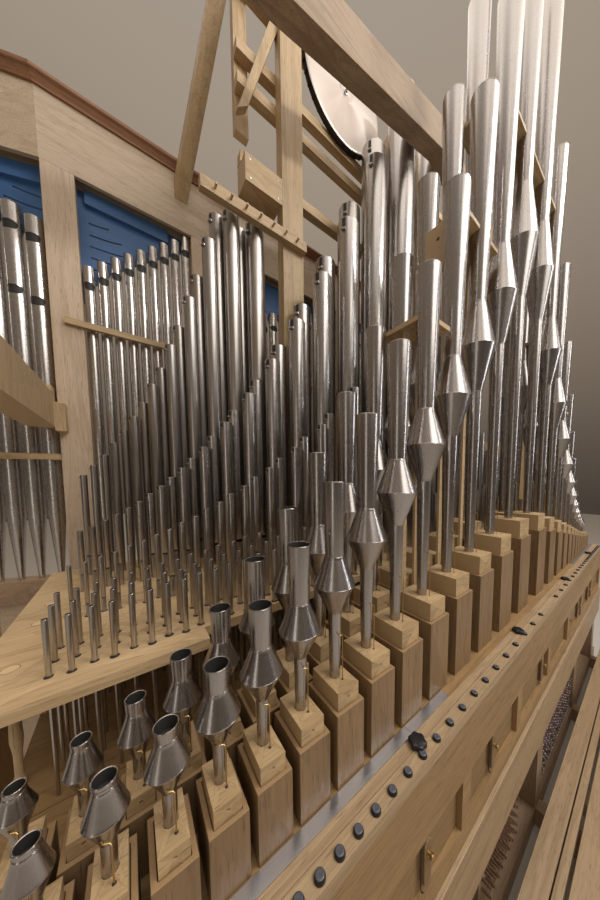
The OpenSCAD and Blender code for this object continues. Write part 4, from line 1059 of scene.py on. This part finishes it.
def rack_holes():
    """Painted shade: a dark ring, set a little off centre, in the rack hole round each small pipe."""
    build = Builder("rack_holes")
    z = RACK_TOP + 0.0002
    for node in ("mixture_rows", "octave_row"):
        for points in islands(node):
            cx, cy, outline = outer_profile(points)
            r = float(np.interp(z, [p[0] for p in outline], [p[1] for p in outline]))
            # The near-black ring is painted shade of the hole round the pipe foot.
            build.spin((cx + 0.0004, cy + 0.0008, z), (0, 0, 1), [(0.0, r + 0.0036), (0.0, r - 0.0004)], 20)
    build.object(("painted_bore_shade",), 30)


def screws():
    """Countersunk screws in the braces and cleats, and pipe hooks of thin wire on the case rails."""
    build = Builder("screws")
    r = 0.0045
    head = [(-0.001, r), (0.0006, r), (0.0012, r * 0.75), (0.0012, r * 0.2), (0.0006, r * 0.18), (0.0006, 0.0002)]
    places = BRACE_SCREWS + tuple((x, CLEAT_Y, z) for z in CLEAT_Z for x in CLEAT_X)
    for side in (-1, 1):
        for x, y, z in places:
            build.spin((side * x, y, z), (0, 1, 0), head, 14)
    for node in ("front_pipes_outer", "front_pipes_wide"):
        for points in islands(node):
            pipe = StraightPipe(points)
            z = HOOK_Z_END if abs(pipe.cx) > END_BAY_X else HOOK_Z_MIDDLE
            reach = pipe.r + 0.0012
            angles = [math.radians(-20 + 220 * i / 16) for i in range(17)]
            build.tube([(pipe.cx + reach * math.cos(a), pipe.cy + reach * math.sin(a), z) for a in angles], 0.0011, 6)
    build.object(("wire",), 30)


# Floor and light
# Name, place, aim, size in metres, watts and colour of each lamp
LAMPS = (
    ("ceiling", (0.0, 0.6, 7.0), (0.0, 0.0, 0.0), (7.2, 7.2), 255, (1.0, 0.93, 0.84)),
    ("key", (0.2, 4.4, 4.6), (0.1, 0.2, 1.3), (3.0, 2.0), 60, (1.0, 0.96, 0.90)),
    ("lamp", (-0.9, 2.5, 4.7), (0.1, 0.0, 2.9), (1.8, 0.25), 62, (1.0, 0.98, 0.95)),
    ("side", (-2.2, 3.2, 2.9), (0.4, 0.2, 1.7), (0.35, 2.4), 26, (0.96, 0.97, 1.0)),
    ("low", (3.6, 2.0, 1.8), (0.2, 0.2, 1.3), (0.4, 2.2), 5, (1.0, 0.94, 0.86)),
)
# Colour of the studio by height, from straight down (0) to straight up (1)
STUDIO = [(0.0, (0.050, 0.040, 0.032)), (0.46, (0.060, 0.048, 0.038)), (0.54, (0.100, 0.078, 0.060)),
          (0.68, (0.205, 0.162, 0.122)), (0.88, (0.350, 0.290, 0.230)), (1.0, (0.400, 0.350, 0.295))]
FLOOR_HALF = 14


def make_floor():
    """Plain pale floor just under the organ."""
    grid = bmesh.new()
    bmesh.ops.create_grid(grid, x_segments=2, y_segments=2, size=FLOOR_HALF)
    mesh = bpy.data.meshes.new("floor")
    grid.to_mesh(mesh)
    grid.free()
    mesh.materials.append(paint("pale floor", (0.52, 0.49, 0.45), 0.7, bump=0.02, other=0.97, scale=3.0))
    floor = bpy.data.objects.new("floor", mesh)
    bpy.context.scene.collection.objects.link(floor)
    floor.location.z = CAD_BOX[0][Z] - 0.0005


def add_lamp(name, at, aim, size, watts, color):
    """Soft rectangular lamp at a place, turned to its aim."""
    data = bpy.data.lights.new(name, "AREA")
    data.shape = "RECTANGLE"
    data.size, data.size_y = size
    data.energy = watts
    data.color = color
    lamp = bpy.data.objects.new(name, data)
    bpy.context.scene.collection.objects.link(lamp)
    lamp.location = at
    lamp.rotation_euler = (Vector(aim) - Vector(at)).to_track_quat("-Z", "Y").to_euler()


def make_studio():
    """Plain surroundings, dark below and brighter overhead."""
    world = bpy.data.worlds.new("studio")
    bpy.context.scene.world = world
    world.use_nodes = True
    background = world.node_tree.nodes["Background"]
    net = Net(world.node_tree)
    height = net.part(net.add("ShaderNodeTexCoord").outputs["Generated"], Z)
    net.feed(background.inputs[0], net.ramp(net.span(height, -1.0, 1.0, 0.0, 1.0), STUDIO))
    net.feed(background.inputs[1], 1.0)


make_camera()
give_looks()
for node in BLOCKS:
    soften(node, 0.0012)
for node in TIMBERS:
    soften(node, 0.002)
reeds = reed_pipes("resonators_front") + reed_pipes("resonators_rear")
flue_pipes("mixture_rows", 20, "tin")
flue_pipes("octave_row", 24, "tin", 3, 0.004)
flue_pipes("principal_row", 32, "tin", 3, 0.004)
flue_pipes("double_row", 40, "spotted", 4, 0.006)
front_pipes("front_pipes_outer")
front_pipes("front_pipes_wide")
knobs()
tuning_wires(reeds)
hand_nuts()
latches()
panel_pins()
rod_ends()
tuning_rolls()
plate()
plate_fittings()
rack_plugs()
rack_holes()
screws()
make_floor()
for lamp in LAMPS:
    add_lamp(*lamp)
make_studio()
bpy.context.scene.view_settings.view_transform = "Standard"
